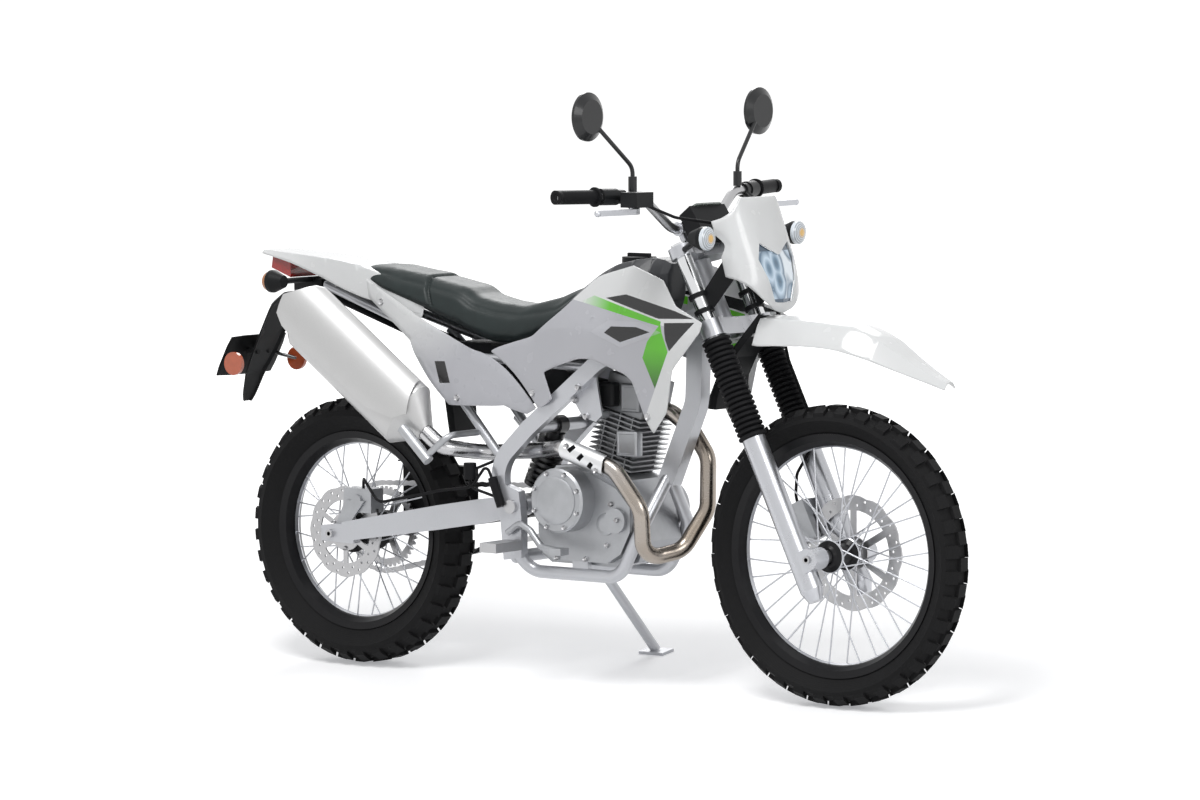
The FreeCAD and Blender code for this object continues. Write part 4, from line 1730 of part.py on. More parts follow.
def gutter(stations, wall, lip):
    """A channel along a curve in the middle plane, from stations of place and half width."""
    rings = []
    last = len(stations) - 1
    for index, (place, half) in enumerate(stations):
        run = stations[min(index + 1, last)][0] - stations[max(index - 1, 0)][0]
        out = at(-run.z, 0, run.x).normalize()
        outer = [place - at(0, half, 0) - out * lip, place - at(0, 0.8 * half, 0),
                 place + at(0, 0.8 * half, 0),
                 place + at(0, half, 0) - out * lip]
        rings.append(outer + [point - out * wall for point in reversed(outer)])
    return ruled_loft(rings)


def rear_flap():
    """The long flap below the tail with the plate holder on its stays."""
    corner = from_pivot(-FLAP_SETBACK, 0, FLAP_LIFT)
    stations = [(corner + at(a * FLAP_LENGTH, 0, h * FLAP_HEIGHT), w * FLAP_HALF_WIDTH) for a, h,
                w in FLAP_FORM_SHARES]
    flap = gutter(stations, FLAP_WALL, FLAP_WALL)
    middle, rise = plate_frame()
    stays = []
    for side in (-0.2 * PLATE_HALF_WIDTH, 0.2 * PLATE_HALF_WIDTH):
        foot = middle + at(0, side, 0) + rise * (0.1 * PLATE_LENGTH)
        stays.append(rod(foot, foot + at(PLATE_STAY_LENGTH, 0, 0), POST_RADIUS))
    tray_middle = from_pivot(-TRAY_SETBACK + TRAY_LENGTH / 2, 0, TRAY_LIFT + TRAY_HEIGHT / 2)
    tray = block(tray_middle, TRAY_LENGTH, 2 * TRAY_HALF_WIDTH, TRAY_HEIGHT)
    return fused([flap, plate_holder(), tray] + stays).cut([rear_mudguard(), subframe()])


def plate_frame():
    """Middle of the plate holder and its up direction."""
    middle = from_pivot(-PLATE_SETBACK, 0, PLATE_LIFT + PLATE_LENGTH / 2)
    angle = math.radians(PLATE_ANGLE)
    return middle, at(math.cos(angle), 0, math.sin(angle))


def plate_holder():
    middle, rise = plate_frame()
    back = at(-rise.z, 0, rise.x) * PLATE_THICKNESS
    low = middle - rise * (PLATE_LENGTH / 2) - at(0, PLATE_HALF_WIDTH, 0)
    high = middle + rise * (PLATE_LENGTH / 2) - at(0, PLATE_HALF_WIDTH, 0)
    return prism([low, high, high + back, low + back], at(0, 2 * PLATE_HALF_WIDTH, 0))


def side_reflectors():
    face = from_pivot(-REFLECTOR_SETBACK, -REFLECTOR_SIDE, REFLECTOR_LIFT)
    disc = rod(face, face + at(0, REFLECTOR_THICKNESS, 0), REFLECTOR_RADIUS)
    middle = plate_frame()[0]
    behind = middle - at(REFLECTOR_THICKNESS, 0.88 * PLATE_HALF_WIDTH, 0)
    stem = seated_post(face + at(0, 0.6 * REFLECTOR_THICKNESS, 0), behind, REFLECTOR_THICKNESS / 2,
                       plate_holder())
    return both_sides(fused([disc, max(stem.Solids, key=lambda solid: solid.Volume)]))


def tail_lamp():
    corner = from_pivot(-TAIL_LAMP_SETBACK, -TAIL_LAMP_HALF_WIDTH, TAIL_LAMP_LIFT)
    outline = [corner, corner + at(TAIL_LAMP_LENGTH, 0, -0.6 * TAIL_LAMP_HEIGHT),
               corner + at(TAIL_LAMP_LENGTH, 0, 0.92 * TAIL_LAMP_HEIGHT), corner + at(0.1 * TAIL_LAMP_LENGTH,
                                                                                      0, TAIL_LAMP_HEIGHT)]
    return prism(outline, at(0, 2 * TAIL_LAMP_HALF_WIDTH, 0))


def rear_signals():
    face = from_pivot(-REAR_SIGNAL_SETBACK, -REAR_SIGNAL_SIDE, REAR_SIGNAL_LIFT)
    lamp = signal_lamp(face, at(-1, 0, 0), SIGNAL_RADIUS, SIGNAL_DEPTH)
    root = at(face.x + 0.6 * SIGNAL_DEPTH, 0, face.z)
    stalk = seated_post(face + at(0.6 * SIGNAL_DEPTH, 0, 0), root, SIGNAL_STALK_RADIUS, rear_flap())
    return both_sides(fused([lamp, max(stalk.Solids, key=lambda solid: solid.Volume)]))


def rear_mudguard():
    """Inner mudguard: a channel below the rails that turns down ahead of the wheel."""
    corner = from_pivot(-MUDGUARD_SETBACK, 0, MUDGUARD_LIFT)
    stations = [(corner + at(a * MUDGUARD_LENGTH, 0, h * MUDGUARD_HEIGHT), w * MUDGUARD_HALF_WIDTH)
                for a, h, w in MUDGUARD_FORM_SHARES]
    return gutter(stations, MUDGUARD_WALL, 2 * MUDGUARD_WALL)


# Drive
def belt_wire(radius_behind, radius_ahead, side):
    """A closed line round the rear and front sprocket centres."""
    behind = REAR_AXLE + at(0, side, 0)
    ahead = from_pivot(FRONT_SPROCKET_FORWARD, side, -FRONT_SPROCKET_DROP)
    run = (ahead - behind)
    tilt = math.asin((radius_behind - radius_ahead) / run.Length)
    run.normalize()
    square = at(-run.z, 0, run.x)
    above = run * math.sin(tilt) + square * math.cos(tilt)
    below = run * math.sin(tilt) - square * math.cos(tilt)
    edges = [Part.LineSegment(behind + above * radius_behind, ahead + above * radius_ahead).toShape(),
             Part.Arc(ahead + above * radius_ahead, ahead + run * radius_ahead,
                      ahead + below * radius_ahead).toShape(),
             Part.LineSegment(ahead + below * radius_ahead, behind + below * radius_behind).toShape(),
             Part.Arc(behind + below * radius_behind, behind - run * radius_behind,
                      behind + above * radius_behind).toShape()]
    return Part.Wire(edges)


def chain_outline(radius_behind, radius_ahead, side, bulge):
    """A closed line of link plates round both sprockets, each plate waisted at its pin."""
    line = belt_wire(radius_behind, radius_ahead, side)
    places = line.discretize(Number=2 * LINK_COUNT + 1)[:-1]
    points = []
    for index, place in enumerate(places):
        before = places[index - 1]
        after = places[(index + 1) % len(places)]
        run = (after - before).normalize()
        out = at(-run.z, 0, run.x)
        points.append(place + out * (bulge if index % 2 else 0))
    return closed_wire(points)


def chain_loop():
    """The whole chain as one loop of joined links, a roller row between two rows of plates."""
    start = CHAIN_SIDE - CHAIN_WIDTH / 2
    rear_low = SPROCKET_RADIUS - CHAIN_DEPTH + CHAIN_CLEARANCE
    front_low = FRONT_SPROCKET_RADIUS + RUNNING_GAP
    waist = LINK_WAIST_SHARE * CHAIN_DEPTH
    outer = chain_outline(rear_low + CHAIN_DEPTH, front_low + CHAIN_DEPTH, start, -waist)
    inner = chain_outline(rear_low, front_low, start, waist)
    return Part.makeFace([outer, inner], "Part::FaceMakerBullseye").extrude(at(0, CHAIN_WIDTH, 0))


def toothed_disc(centre, side, thickness, tip, root, count):
    """A sprocket plate with pointed teeth."""
    points = []
    for index in range(4 * count):
        reach = (root, tip, tip, root)[index % 4]
        turn = FULL_TURN * index / (4 * count)
        points.append(centre + at(0, side - thickness / 2, 0) + spoke_arm(reach, turn))
    return prism(points, at(0, thickness, 0))


def front_sprocket():
    shaft = from_pivot(FRONT_SPROCKET_FORWARD, 0, -FRONT_SPROCKET_DROP)
    case = CASE_HALF_WIDTH - COVER_THICKNESS + RUNNING_GAP
    hub = rod(shaft + at(0, case, 0), shaft + at(0, CHAIN_SIDE + CHAIN_WIDTH / 2, 0),
              0.45 * FRONT_SPROCKET_RADIUS)
    disc = toothed_disc(shaft, CHAIN_SIDE, SPROCKET_THICKNESS, FRONT_SPROCKET_RADIUS - RUNNING_GAP,
                        FRONT_SPROCKET_RADIUS - TOOTH_DEPTH, FRONT_TOOTH_COUNT)
    return fused([hub, disc])


def chain_guards():
    """The upper guard that stands on the left arm beside and over the chain."""
    inner = ARM_SIDE - ARM_WIDTH / 2
    start = arm_point(GUARD_START_SHARE, inner, 0.4 * ARM_TAIL_DEPTH)
    end = arm_point(GUARD_END_SHARE, inner, 0.45 * ARM_DEPTH)
    rise = at(0, 0, GUARD_RISE)
    outline = [start, end, end + at(0, 0, 0.75 * GUARD_RISE), start + rise + at(0, 0, GUARD_HEIGHT)]
    side = prism(outline, at(0, GUARD_WALL, 0))
    lid = prism([outline[2] - at(0, CHAIN_WIDTH + GUARD_WALL, GUARD_WALL),
                 outline[3] - at(0, CHAIN_WIDTH + GUARD_WALL, GUARD_WALL),
                 outline[3] - at(0, CHAIN_WIDTH + GUARD_WALL, 0), outline[2] - at(0,
                                                                                  CHAIN_WIDTH + GUARD_WALL, 0)],
                at(0, CHAIN_WIDTH + 2 * GUARD_WALL, 0))
    return fused([side, lid]).cut(swingarm())


def rear_caliper():
    centre = REAR_AXLE + at(0.5 * REAR_DISC_RADIUS, -REAR_DISC_SIDE - DISC_THICKNESS / 2,
                            0.72 * REAR_DISC_RADIUS)
    body = block(centre, CALIPER_LENGTH, CALIPER_WIDTH, CALIPER_HEIGHT)
    slot = hollow_rod(REAR_AXLE + at(0, -REAR_DISC_SIDE - 2 * DISC_THICKNESS, 0),
                      REAR_AXLE + at(0, -REAR_DISC_SIDE + DISC_THICKNESS, 0),
                      REAR_DISC_RADIUS + DISC_THICKNESS, REAR_DISC_INNER_RADIUS / 2)
    clear = rod(REAR_AXLE - at(0, ARM_SIDE, 0), REAR_AXLE, REAR_FLANGE_RADIUS + CUT_OVERRUN)
    face = ARM_SIDE - ARM_WIDTH / 2 - RUNNING_GAP
    eye = rod(REAR_AXLE - at(0, face, 0), REAR_AXLE - at(0, face - CARRIER_THICKNESS, 0),
              1.5 * BEARING_RADIUS)
    carrier = prism([at(-BEARING_RADIUS, -face, REAR_AXLE.z), at(BEARING_RADIUS, -face, REAR_AXLE.z),
                     at(centre.x + 0.3 * CALIPER_LENGTH, -face,
                        centre.z), at(centre.x - 0.4 * CALIPER_LENGTH, -face, centre.z)],
                    at(0, CARRIER_THICKNESS, 0))
    post = rod(at(centre.x, -face, centre.z), centre, 2 * POST_RADIUS)
    bore = rod(REAR_AXLE - at(0, ARM_SIDE, 0), REAR_AXLE, BEARING_RADIUS + RUNNING_GAP)
    disc_room = rod(REAR_AXLE - at(0, face - CARRIER_THICKNESS, 0), REAR_AXLE,
                    REAR_DISC_RADIUS + DISC_THICKNESS)
    return fused([body.cut([slot, clear]), post.cut(disc_room), eye, carrier]).cut(bore)


def rear_hose():
    """The rear brake's pump on the frame, its fluid box and the hose along the arm to the caliper."""
    out = -SPAR_SIDE - SPAR_WIDTH / 2 - PUMP_RADIUS + RUNNING_GAP
    low = from_pivot(-PUMP_SETBACK, out, 0)
    high = low + at(-PUMP_LEAN, 0, PUMP_LENGTH)
    pump = rod(low, high, PUMP_RADIUS)
    box_middle = from_pivot(-PUMP_BOX_SETBACK, out, PUMP_BOX_LIFT)
    box = rod(box_middle - at(0, 0, PUMP_BOX_HEIGHT / 2), box_middle + at(0, 0, PUMP_BOX_HEIGHT / 2),
              PUMP_BOX_RADIUS)
    bracket = rod(box_middle, from_pivot(SUBFRAME_STRUT_AHEAD, -SUBFRAME_SIDE, SUBFRAME_STRUT_ABOVE),
                  HOSE_RADIUS)
    feed = bent_tube([box_middle, box_middle - at(0, 0, PUMP_BOX_HEIGHT), low + (high - low) * 0.3],
                     HOSE_RADIUS, HOSE_BEND / 2)
    line = bent_tube([high - at(0, 0, PUMP_RADIUS / 2)] + [from_pivot(-back, out - HOSE_RADIUS * share, rise)
                                                           for back, share, rise in REAR_HOSE_RUN]
                     + [REAR_AXLE + at(ahead, -side, rise) for ahead, side,
                        rise in REAR_HOSE_END], HOSE_RADIUS, HOSE_BEND)
    whole = fused([pump, box, bracket, feed, line])
    whole = whole.cut([main_frame(), subframe(), rear_caliper(), swingarm(), pivot_bolt()])
    return max(whole.Solids, key=lambda solid: solid.Volume)


# Foot controls
def foot_peg():
    root = from_pivot(PEG_FORWARD, -SPAR_SIDE - SPAR_WIDTH / 2 - RUNNING_GAP, -PEG_DROP)
    arm = rod(root, root - at(0, PEG_SIDE - SPAR_SIDE, 0), 0.5 * PEG_HEIGHT)
    tread = block(from_pivot(PEG_FORWARD, -PEG_SIDE - PEG_LENGTH / 2, -PEG_DROP), PEG_WIDTH, PEG_LENGTH,
                  PEG_HEIGHT)
    return fused([arm, tread])


def foot_pegs():
    return both_sides(foot_peg())


def passenger_peg():
    root = from_pivot(-PILLION_ROOT_SETBACK, -SUBFRAME_SIDE - SUBFRAME_RADIUS - RUNNING_GAP,
                      PILLION_ROOT_LIFT)
    low = from_pivot(-PILLION_PEG_SETBACK, -PILLION_PEG_SIDE, PILLION_PEG_LIFT)
    arm = bent_tube([root, root - at(0, PILLION_PEG_SIDE - SUBFRAME_SIDE - 2 * PILLION_PEG_RADIUS, 0), low],
                    0.6 * PILLION_PEG_RADIUS, 2 * PILLION_PEG_RADIUS)
    rise = at(-0.72, 0, 0.68)
    peg = rod(low - rise * PILLION_PEG_RADIUS, low + rise * PILLION_PEG_LENGTH, PILLION_PEG_RADIUS)
    return fused([arm, peg])


def passenger_pegs():
    return both_sides(passenger_peg())


def brake_pedal():
    root = from_pivot(-CUT_OVERRUN, -SPAR_SIDE - SPAR_WIDTH / 2 - RUNNING_GAP - PEDAL_RADIUS, -PEDAL_DROP)
    points = [root + at(a * PEDAL_LENGTH, -s * PEDAL_SPREAD, h * PEDAL_RISE) for a, s, h in PEDAL_SHARES]
    arm = bent_tube(points, PEDAL_RADIUS, 3 * PEDAL_RADIUS)
    toe = block(points[-1] - at(PEDAL_RADIUS, 0, 0), 4 * PEDAL_RADIUS, 4 * PEDAL_RADIUS, 2 * PEDAL_RADIUS)
    return fused([arm, toe])


def gear_lever():
    root = from_pivot(GEAR_FORWARD, CASE_HALF_WIDTH + RUNNING_GAP, -GEAR_DROP)
    points = [root + at(a * GEAR_LENGTH, s * GEAR_SPREAD, h * GEAR_LENGTH) for a, s, h in GEAR_SHARES]
    arm = bent_tube(points, PEDAL_RADIUS * 0.8, 2 * PEDAL_RADIUS)
    toe = rod(points[-1] - at(0, PEDAL_RADIUS, 0), points[-1] + at(0, 5 * PEDAL_RADIUS, 0),
              1.4 * PEDAL_RADIUS)
    return fused([arm, toe])


# Side stand
def upright_from_floor(point):
    """Where a place on the leaning machine lies on the upright one."""
    angle = math.radians(LEAN_ANGLE)
    return at(point.x, point.y * math.cos(angle) - point.z * math.sin(angle),
              point.y * math.sin(angle) + point.z * math.cos(angle))


def stand_places():
    """Pivot and ankle of the stand on the upright machine."""
    pivot = at(PIVOT_X + STAND_PIVOT_FORWARD, STAND_PIVOT_SIDE, STAND_PIVOT_HEIGHT)
    ankle = upright_from_floor(at(pivot.x + STAND_FOOT_FORWARD, STAND_FOOT_SIDE,
                                  STAND_FOOT_THICKNESS + floor_height()))
    return pivot, ankle


def floor_height():
    """Height of the floor under the stand, between the lowest places of the leaned tyres."""
    rear = tyre_low(REAR_TYRE_RADIUS, REAR_TYRE_WIDTH, REAR_RIM_RADIUS)
    front = tyre_low(FRONT_TYRE_RADIUS, FRONT_TYRE_WIDTH, FRONT_RIM_RADIUS)
    return rear + (front - rear) * (PIVOT_X + STAND_PIVOT_FORWARD) / WHEELBASE


def tyre_low(radius, width, rim_radius):
    """The lowest place of a leaned tyre, at the edge of its middle lug."""
    lean = math.radians(LEAN_ANGLE)
    lug = radius - (1 - TREAD_DROP_SHARES[2]) * (radius - rim_radius)
    drop = radius - lug * math.cos(math.pi / (2 * LUG_COUNT))
    return drop * math.cos(lean) - TREAD_SIDE_SHARE * CROWN_SHARE * width / 2 * math.sin(lean)


def stand_axis():
    """The hinge line, square to the leg both down and folded back."""
    pivot, ankle = stand_places()
    down = (ankle - pivot).normalize()
    stowed = at(-1, STAND_STOW_SPREAD_SHARE, STAND_STOW_RISE_SHARE).normalize()
    axis = down.cross(stowed).normalize()
    inward = axis if axis.y < 0 else axis * -1
    return inward, math.degrees(down.getAngle(stowed))


def side_stand():
    pivot, ankle = stand_places()
    axis = stand_axis()[0]
    eye = rod(pivot - axis * STAND_EYE_HALF_WIDTH, pivot + axis * STAND_EYE_HALF_WIDTH, 1.4 * STAND_RADIUS)
    leg = rod(pivot, ankle, STAND_RADIUS)
    foot = block(at(ankle.x, STAND_FOOT_SIDE, floor_height() + STAND_FOOT_THICKNESS / 2), STAND_FOOT_LENGTH,
                 STAND_FOOT_WIDTH, STAND_FOOT_THICKNESS)
    foot.rotate(ORIGIN, ALONG, LEAN_ANGLE)
    stand = fused([eye, leg, foot])
    bolt = rod(pivot - axis * (2 * STAND_RADIUS), pivot + axis * (2 * STAND_RADIUS),
               STAND_PIN_RADIUS + RUNNING_GAP)
    return stand.cut(bolt)


def stand_bracket():
    """The pin of the stand with the lug that holds it to the frame."""
    pivot = stand_places()[0]
    axis = stand_axis()[0]
    room = STAND_EYE_HALF_WIDTH + SIDE_CLEARANCE
    inner = pivot + axis * room
    outer = pivot - axis * room
    pin = rod(outer - axis * STAND_PIN_RADIUS, inner + axis * STAND_PIN_RADIUS, STAND_PIN_RADIUS)
    head = rod(outer - axis * STAND_PIN_RADIUS, outer, 1.6 * STAND_PIN_RADIUS)
    lug = rod(inner, inner + axis * (2 * STAND_PIN_RADIUS), 1.4 * STAND_RADIUS)
    elbow = inner + axis * STAND_PIN_RADIUS
    root = at(PIVOT_X + CRADLE_REAR_AHEAD, SPAR_SIDE, PIVOT_HEIGHT + CRADLE_REAR_ABOVE)
    arm = rod(elbow, root, 0.9 * STAND_RADIUS)
    clear = rod(outer, inner, 2 * STAND_RADIUS)
    return fused([lug, arm]).cut(clear).fuse([pin, head]).removeSplitter()


# Everything by its body
def all_pieces():
    return {
        "front_tyre": front_tyre(), "front_wheel": front_wheel(), "front_disc": front_disc(),
        "rear_tyre": rear_tyre(), "rear_wheel": rear_wheel(), "rear_disc": rear_disc(),
        "rear_sprocket": rear_sprocket(),
        "front_axle": front_axle(), "fork_legs": fork_legs(), "fork_boots": fork_boots(),
        "fork_tubes": fork_tubes(), "fork_clamps": fork_clamps(), "handlebar": handlebar(), "grips": grips(),
        "hand_controls": hand_controls(),
        "mirrors": mirrors(), "front_fender": front_fender(), "headlamp_cowl": headlamp_cowl(),
        "headlamp_lens": headlamp_lens(), "headlamp_body": headlamp_body(),
        "cowl_brackets": cowl_brackets(), "front_signals": front_signals(),
        "instrument": instrument(), "front_caliper": front_caliper(), "front_hose": front_hose(),
        "front_mudguard": front_mudguard(),
        "main_frame": main_frame(), "subframe": subframe(), "swingarm": swingarm(), "pivot_bolt": pivot_bolt(),
        "rear_axle": rear_axle(), "shock_absorber": shock_absorber(), "engine_case": engine_case(),
        "engine_covers": engine_covers(), "cylinder": cylinder(), "intake": fused([airbox(), carburettor()]),
        "exhaust_pipe": exhaust_pipe(), "pipe_shield": pipe_shield(), "muffler": muffler(),
        "muffler_cover": muffler_cover(), "fuel_tank": fuel_tank(), "fuel_cap": fuel_cap(),
        "tank_shrouds": tank_shrouds(), "side_covers": side_covers(), "seat": seat(),
        "tail_fender": tail_fender(), "rear_flap": rear_flap(),
        "side_reflectors": side_reflectors(), "tail_lamp": tail_lamp(), "rear_signals": rear_signals(),
        "rear_mudguard": rear_mudguard(), "drive_chain": Part.makeCompound([chain_loop(), front_sprocket()]),
        "chain_guards": chain_guards(), "rear_caliper": rear_caliper(), "rear_hose": rear_hose(),
        "foot_pegs": foot_pegs(),
        "passenger_pegs": passenger_pegs(), "foot_levers": Part.makeCompound([brake_pedal(), gear_lever()]),
        "side_stand": side_stand(),
    }


def leaned(shape):
    shape = shape.copy()
    shape.rotate(ORIGIN, ALONG, -LEAN_ANGLE)
    return shape


def main():
    os.makedirs("parts", exist_ok=True)
    pieces = {name: leaned(shape) for name, shape in all_pieces().items()}
    whole = Part.makeCompound(list(pieces.values())).optimalBoundingBox()
    shift = at(-(whole.XMin + whole.XMax) / 2, -(whole.YMin + whole.YMax) / 2, -whole.ZMin)
    print("shift", round(shift.x, 3), round(shift.y, 3), round(shift.z, 3))
    for name, shape in pieces.items():
        shape.translate(shift)
        shape.exportStep("parts/" + name + ".step")


if __name__ == "__main__":
    main()
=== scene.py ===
"""Looks of a dual sport motorcycle that leans on its side stand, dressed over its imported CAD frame.

Metres. X points forward, Y to the rider's left, Z up from the floor.
"""
import math

import bmesh
import bpy
from mathutils import Matrix, Vector
from mathutils.bvhtree import BVHTree


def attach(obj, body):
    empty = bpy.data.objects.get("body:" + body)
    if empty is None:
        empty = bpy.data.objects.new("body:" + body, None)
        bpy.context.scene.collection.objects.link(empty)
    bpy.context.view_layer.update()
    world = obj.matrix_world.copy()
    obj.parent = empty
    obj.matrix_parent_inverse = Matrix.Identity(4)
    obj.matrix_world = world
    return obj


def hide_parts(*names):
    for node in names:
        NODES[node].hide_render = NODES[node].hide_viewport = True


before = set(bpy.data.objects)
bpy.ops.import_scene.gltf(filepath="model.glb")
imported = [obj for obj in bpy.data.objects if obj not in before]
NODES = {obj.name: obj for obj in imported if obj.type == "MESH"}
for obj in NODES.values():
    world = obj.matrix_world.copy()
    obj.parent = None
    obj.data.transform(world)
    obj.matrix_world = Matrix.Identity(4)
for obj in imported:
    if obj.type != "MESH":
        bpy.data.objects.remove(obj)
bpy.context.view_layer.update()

# The machine stands upright in its own measures and leans about X on its stand
LEAN = math.radians(8.0)
UPRIGHT_SHIFT = Vector((-0.670321, -0.15978, 0.000972))
LEANING = Matrix.Rotation(-LEAN, 3, "X")
ONTO_STAND = Matrix.Translation(UPRIGHT_SHIFT) @ LEANING.to_4x4()

# Colours, linear
WHITE = (0.72, 0.73, 0.735)
# Pearl grey is partly the panels' own paint and partly painted shade on their lower parts.
PEARL_GREY_AND_SHADE = (0.48, 0.485, 0.52)
BLACK = (0.006, 0.006, 0.007)
SOOT = (0.009, 0.0095, 0.0105)
RUBBER_BLACK = (0.008, 0.008, 0.009)
TYRE_BLACK = (0.0085, 0.0085, 0.009)
TANK_GREY = (0.045, 0.047, 0.052)
SILVER = (0.55, 0.56, 0.59)
CAST_GREY = (0.47, 0.48, 0.50)
STEEL = (0.52, 0.52, 0.53)
BRONZE = (0.33, 0.28, 0.23)
CAN_SILVER = (0.56, 0.56, 0.56)
CHROME = (0.80, 0.81, 0.82)
GREEN = (0.12, 0.52, 0.025)
DEEP_GREEN = (0.05, 0.16, 0.03)
SEAT_GREEN = (0.010, 0.0165, 0.0165)
RED = (0.50, 0.015, 0.012)
REFLECTOR = (0.62, 0.12, 0.04)
DISPLAY = (0.16, 0.19, 0.17)
ICE = (0.62, 0.76, 0.90)
NIGHT_BLUE = (0.05, 0.09, 0.14)
CLEAR_GLASS = (0.78, 0.84, 0.90)
WARM_BULB = (0.95, 0.55, 0.10)
AMBER_GLASS = (0.55, 0.18, 0.02)
AMBER_BULB = (0.85, 0.35, 0.05)
# Painted reflections on the lamp bowl's facets, from dark blue to near white.
PAINTED_REFLECTION_STOPS = ((0.0, (*NIGHT_BLUE, 1)), (0.25, (0.16, 0.27, 0.38, 1)), (0.5, (*ICE, 1)),
               (0.8, (0.10, 0.18, 0.27, 1)), (1.0, (0.85, 0.93, 1.0, 1)))

# Marks on the panels, upright, in metres along and up, their corners anticlockwise. The vent and the
# slots are painted black as painted shade in their openings.
GREY_EDGE = ((0.758, 0.899), (1.007, 0.855))
GREEN_BLADE = ((0.760, 0.899), (1.007, 0.852), (1.008, 0.863), (0.800, 0.914))
GREEN_POINT = ((1.007, 0.857), (0.972, 0.816), (0.957, 0.779), (0.990, 0.710), (1.030, 0.795),
               (1.020, 0.822))
GREEN_FADE = 0.09
BLACK_BLADE = ((0.835, 0.910), (1.000, 0.869), (1.100, 0.872), (1.045, 0.888), (0.895, 0.920))
BLACK_FACET = ((1.034, 0.797), (1.104, 0.864), (1.018, 0.860), (1.024, 0.822))
VENT = ((0.845, 0.832), (0.893, 0.812), (0.980, 0.838), (0.939, 0.848), (0.865, 0.847))
VENT_LIP = ((0.801, 0.832), (0.893, 0.799), (1.012, 0.838), (0.948, 0.860), (0.852, 0.861))
COVER_SLOT_SHADE = ((0.318, 0.744), (0.334, 0.693), (0.366, 0.695), (0.350, 0.745))
COVER_FADE_SLOPE = 0.5
COVER_FADE = (-0.72, -0.56)
SHIELD_SLOT_SHADES = (((0.738, 0.559), (0.747, 0.552), (0.760, 0.564), (0.751, 0.571)),
                ((0.765, 0.541), (0.774, 0.534), (0.787, 0.546), (0.778, 0.553)),
                ((0.792, 0.523), (0.801, 0.516), (0.814, 0.528), (0.805, 0.535)))

# Places where a finish changes within one node, upright
FRONT_HUB = (1.380, 0.341)
REAR_HUB = (0.0, 0.320)
FRONT_SPOKES = (0.036, 0.2475)
REAR_SPOKES = (0.052, 0.2095)
HEAT_RUN = (0.62, 0.98)
LEVERS_FROM = 0.978
LEVERS_UNDER = 1.1215
MIRROR_GLASS_AT = 0.92345
REFLECTOR_FACE = 0.1125
BOWL_FOOT = 0.90
BOWL_FOOT_HALF = 0.026
BOWL_SPREAD = 0.42
BOWL_SPAN = (0.914, 1.022)
DISPLAY_HALF = 0.030
FRONT_BULB = (0.178, 1.0543)
REAR_BULB = (0.1735, 0.919)
BULB_GLOW = (0.006, 0.013)

# Grain, stains and ribs of the finishes, in cells or radians to the metre
MOULD_FLOW = 7.0
PANEL_FLOW = 5.0
SOOT_FLOW = 20.0
HANDLING_HAZE = 23.0
PAINT_FILM = 30.0
RIM_FLAKE = 40.0
RIM_PEEL = 120.0
CAST_STAINS = 16.0
METAL_STAINS = 6.0
HEAT_STAINS = 9.0
RUBBER_DUST = 11.0
LENS_TINT = 40.0
REFLECTOR_TINT = 60.0
DISPLAY_TINT = 30.0
LEATHER_CREASES = 34.0
FLOOR_STAINS = 1.5
PANEL_GRAIN = 700.0
FINE_GRAIN = 900.0
SOFT_GRAIN = 500.0
TYRE_GRAIN = 300.0
METAL_FLAKE = 900.0
ORANGE_PEEL = 260.0
CAST_PITS = 520.0
CAST_PEBBLES = 180.0
BRUSHED_LINES = 60.0
LEATHER_CELLS = 950.0
FACET_CELLS = 17.0
FLANK_RINGS = 1600.0
LENS_PRISMS = 900.0
LENS_RIBS = 1500.0
REFLECTOR_PRISMS = 1400.0
DISPLAY_BARS = 420.0

# Depths of grain, ribs and pressed marks
GRAIN_DEPTH = 0.0003
RIB_DEPTH = 0.0005
RUBBER_DEPTH = 0.0006
FACET_DEPTH = 0.003
MARK_DEPTH = 0.002


def upright(x, y, z):
    """A place on the upright machine, from the rear axle, set on the leaning one."""
    return LEANING @ Vector((x, y, z)) + UPRIGHT_SHIFT


class Value:
    """A number in a material, with the usual signs of arithmetic."""

    def __init__(self, finish, socket):
        self.finish = finish
        self.socket = socket

    def sum_up(self, operation, *others):
        inputs = dict(enumerate((self, *others)))
        node = self.finish.add("ShaderNodeMath", {"operation": operation}, inputs)
        return Value(self.finish, node.outputs[0])

    def __add__(self, other):
        return self.sum_up("ADD", other)

    def __sub__(self, other):
        return self.sum_up("SUBTRACT", other)

    def __mul__(self, other):
        return self.sum_up("MULTIPLY", other)

    def __gt__(self, other):
        return self.sum_up("GREATER_THAN", other)

    def __lt__(self, other):
        return self.sum_up("LESS_THAN", other)

    def __abs__(self):
        return self.sum_up("ABSOLUTE")

    def larger(self, other):
        return self.sum_up("MAXIMUM", other)

    def smaller(self, other):
        return self.sum_up("MINIMUM", other)

    def wave(self):
        return self.sum_up("SINE")

    def root(self):
        return self.sum_up("SQRT")

    def rise(self, low, high):
        """Nought up to the low value, one from the high value on."""
        node = self.finish.add("ShaderNodeMapRange", {}, {0: self, 1: low, 2: high})
        return Value(self.finish, node.outputs[0])


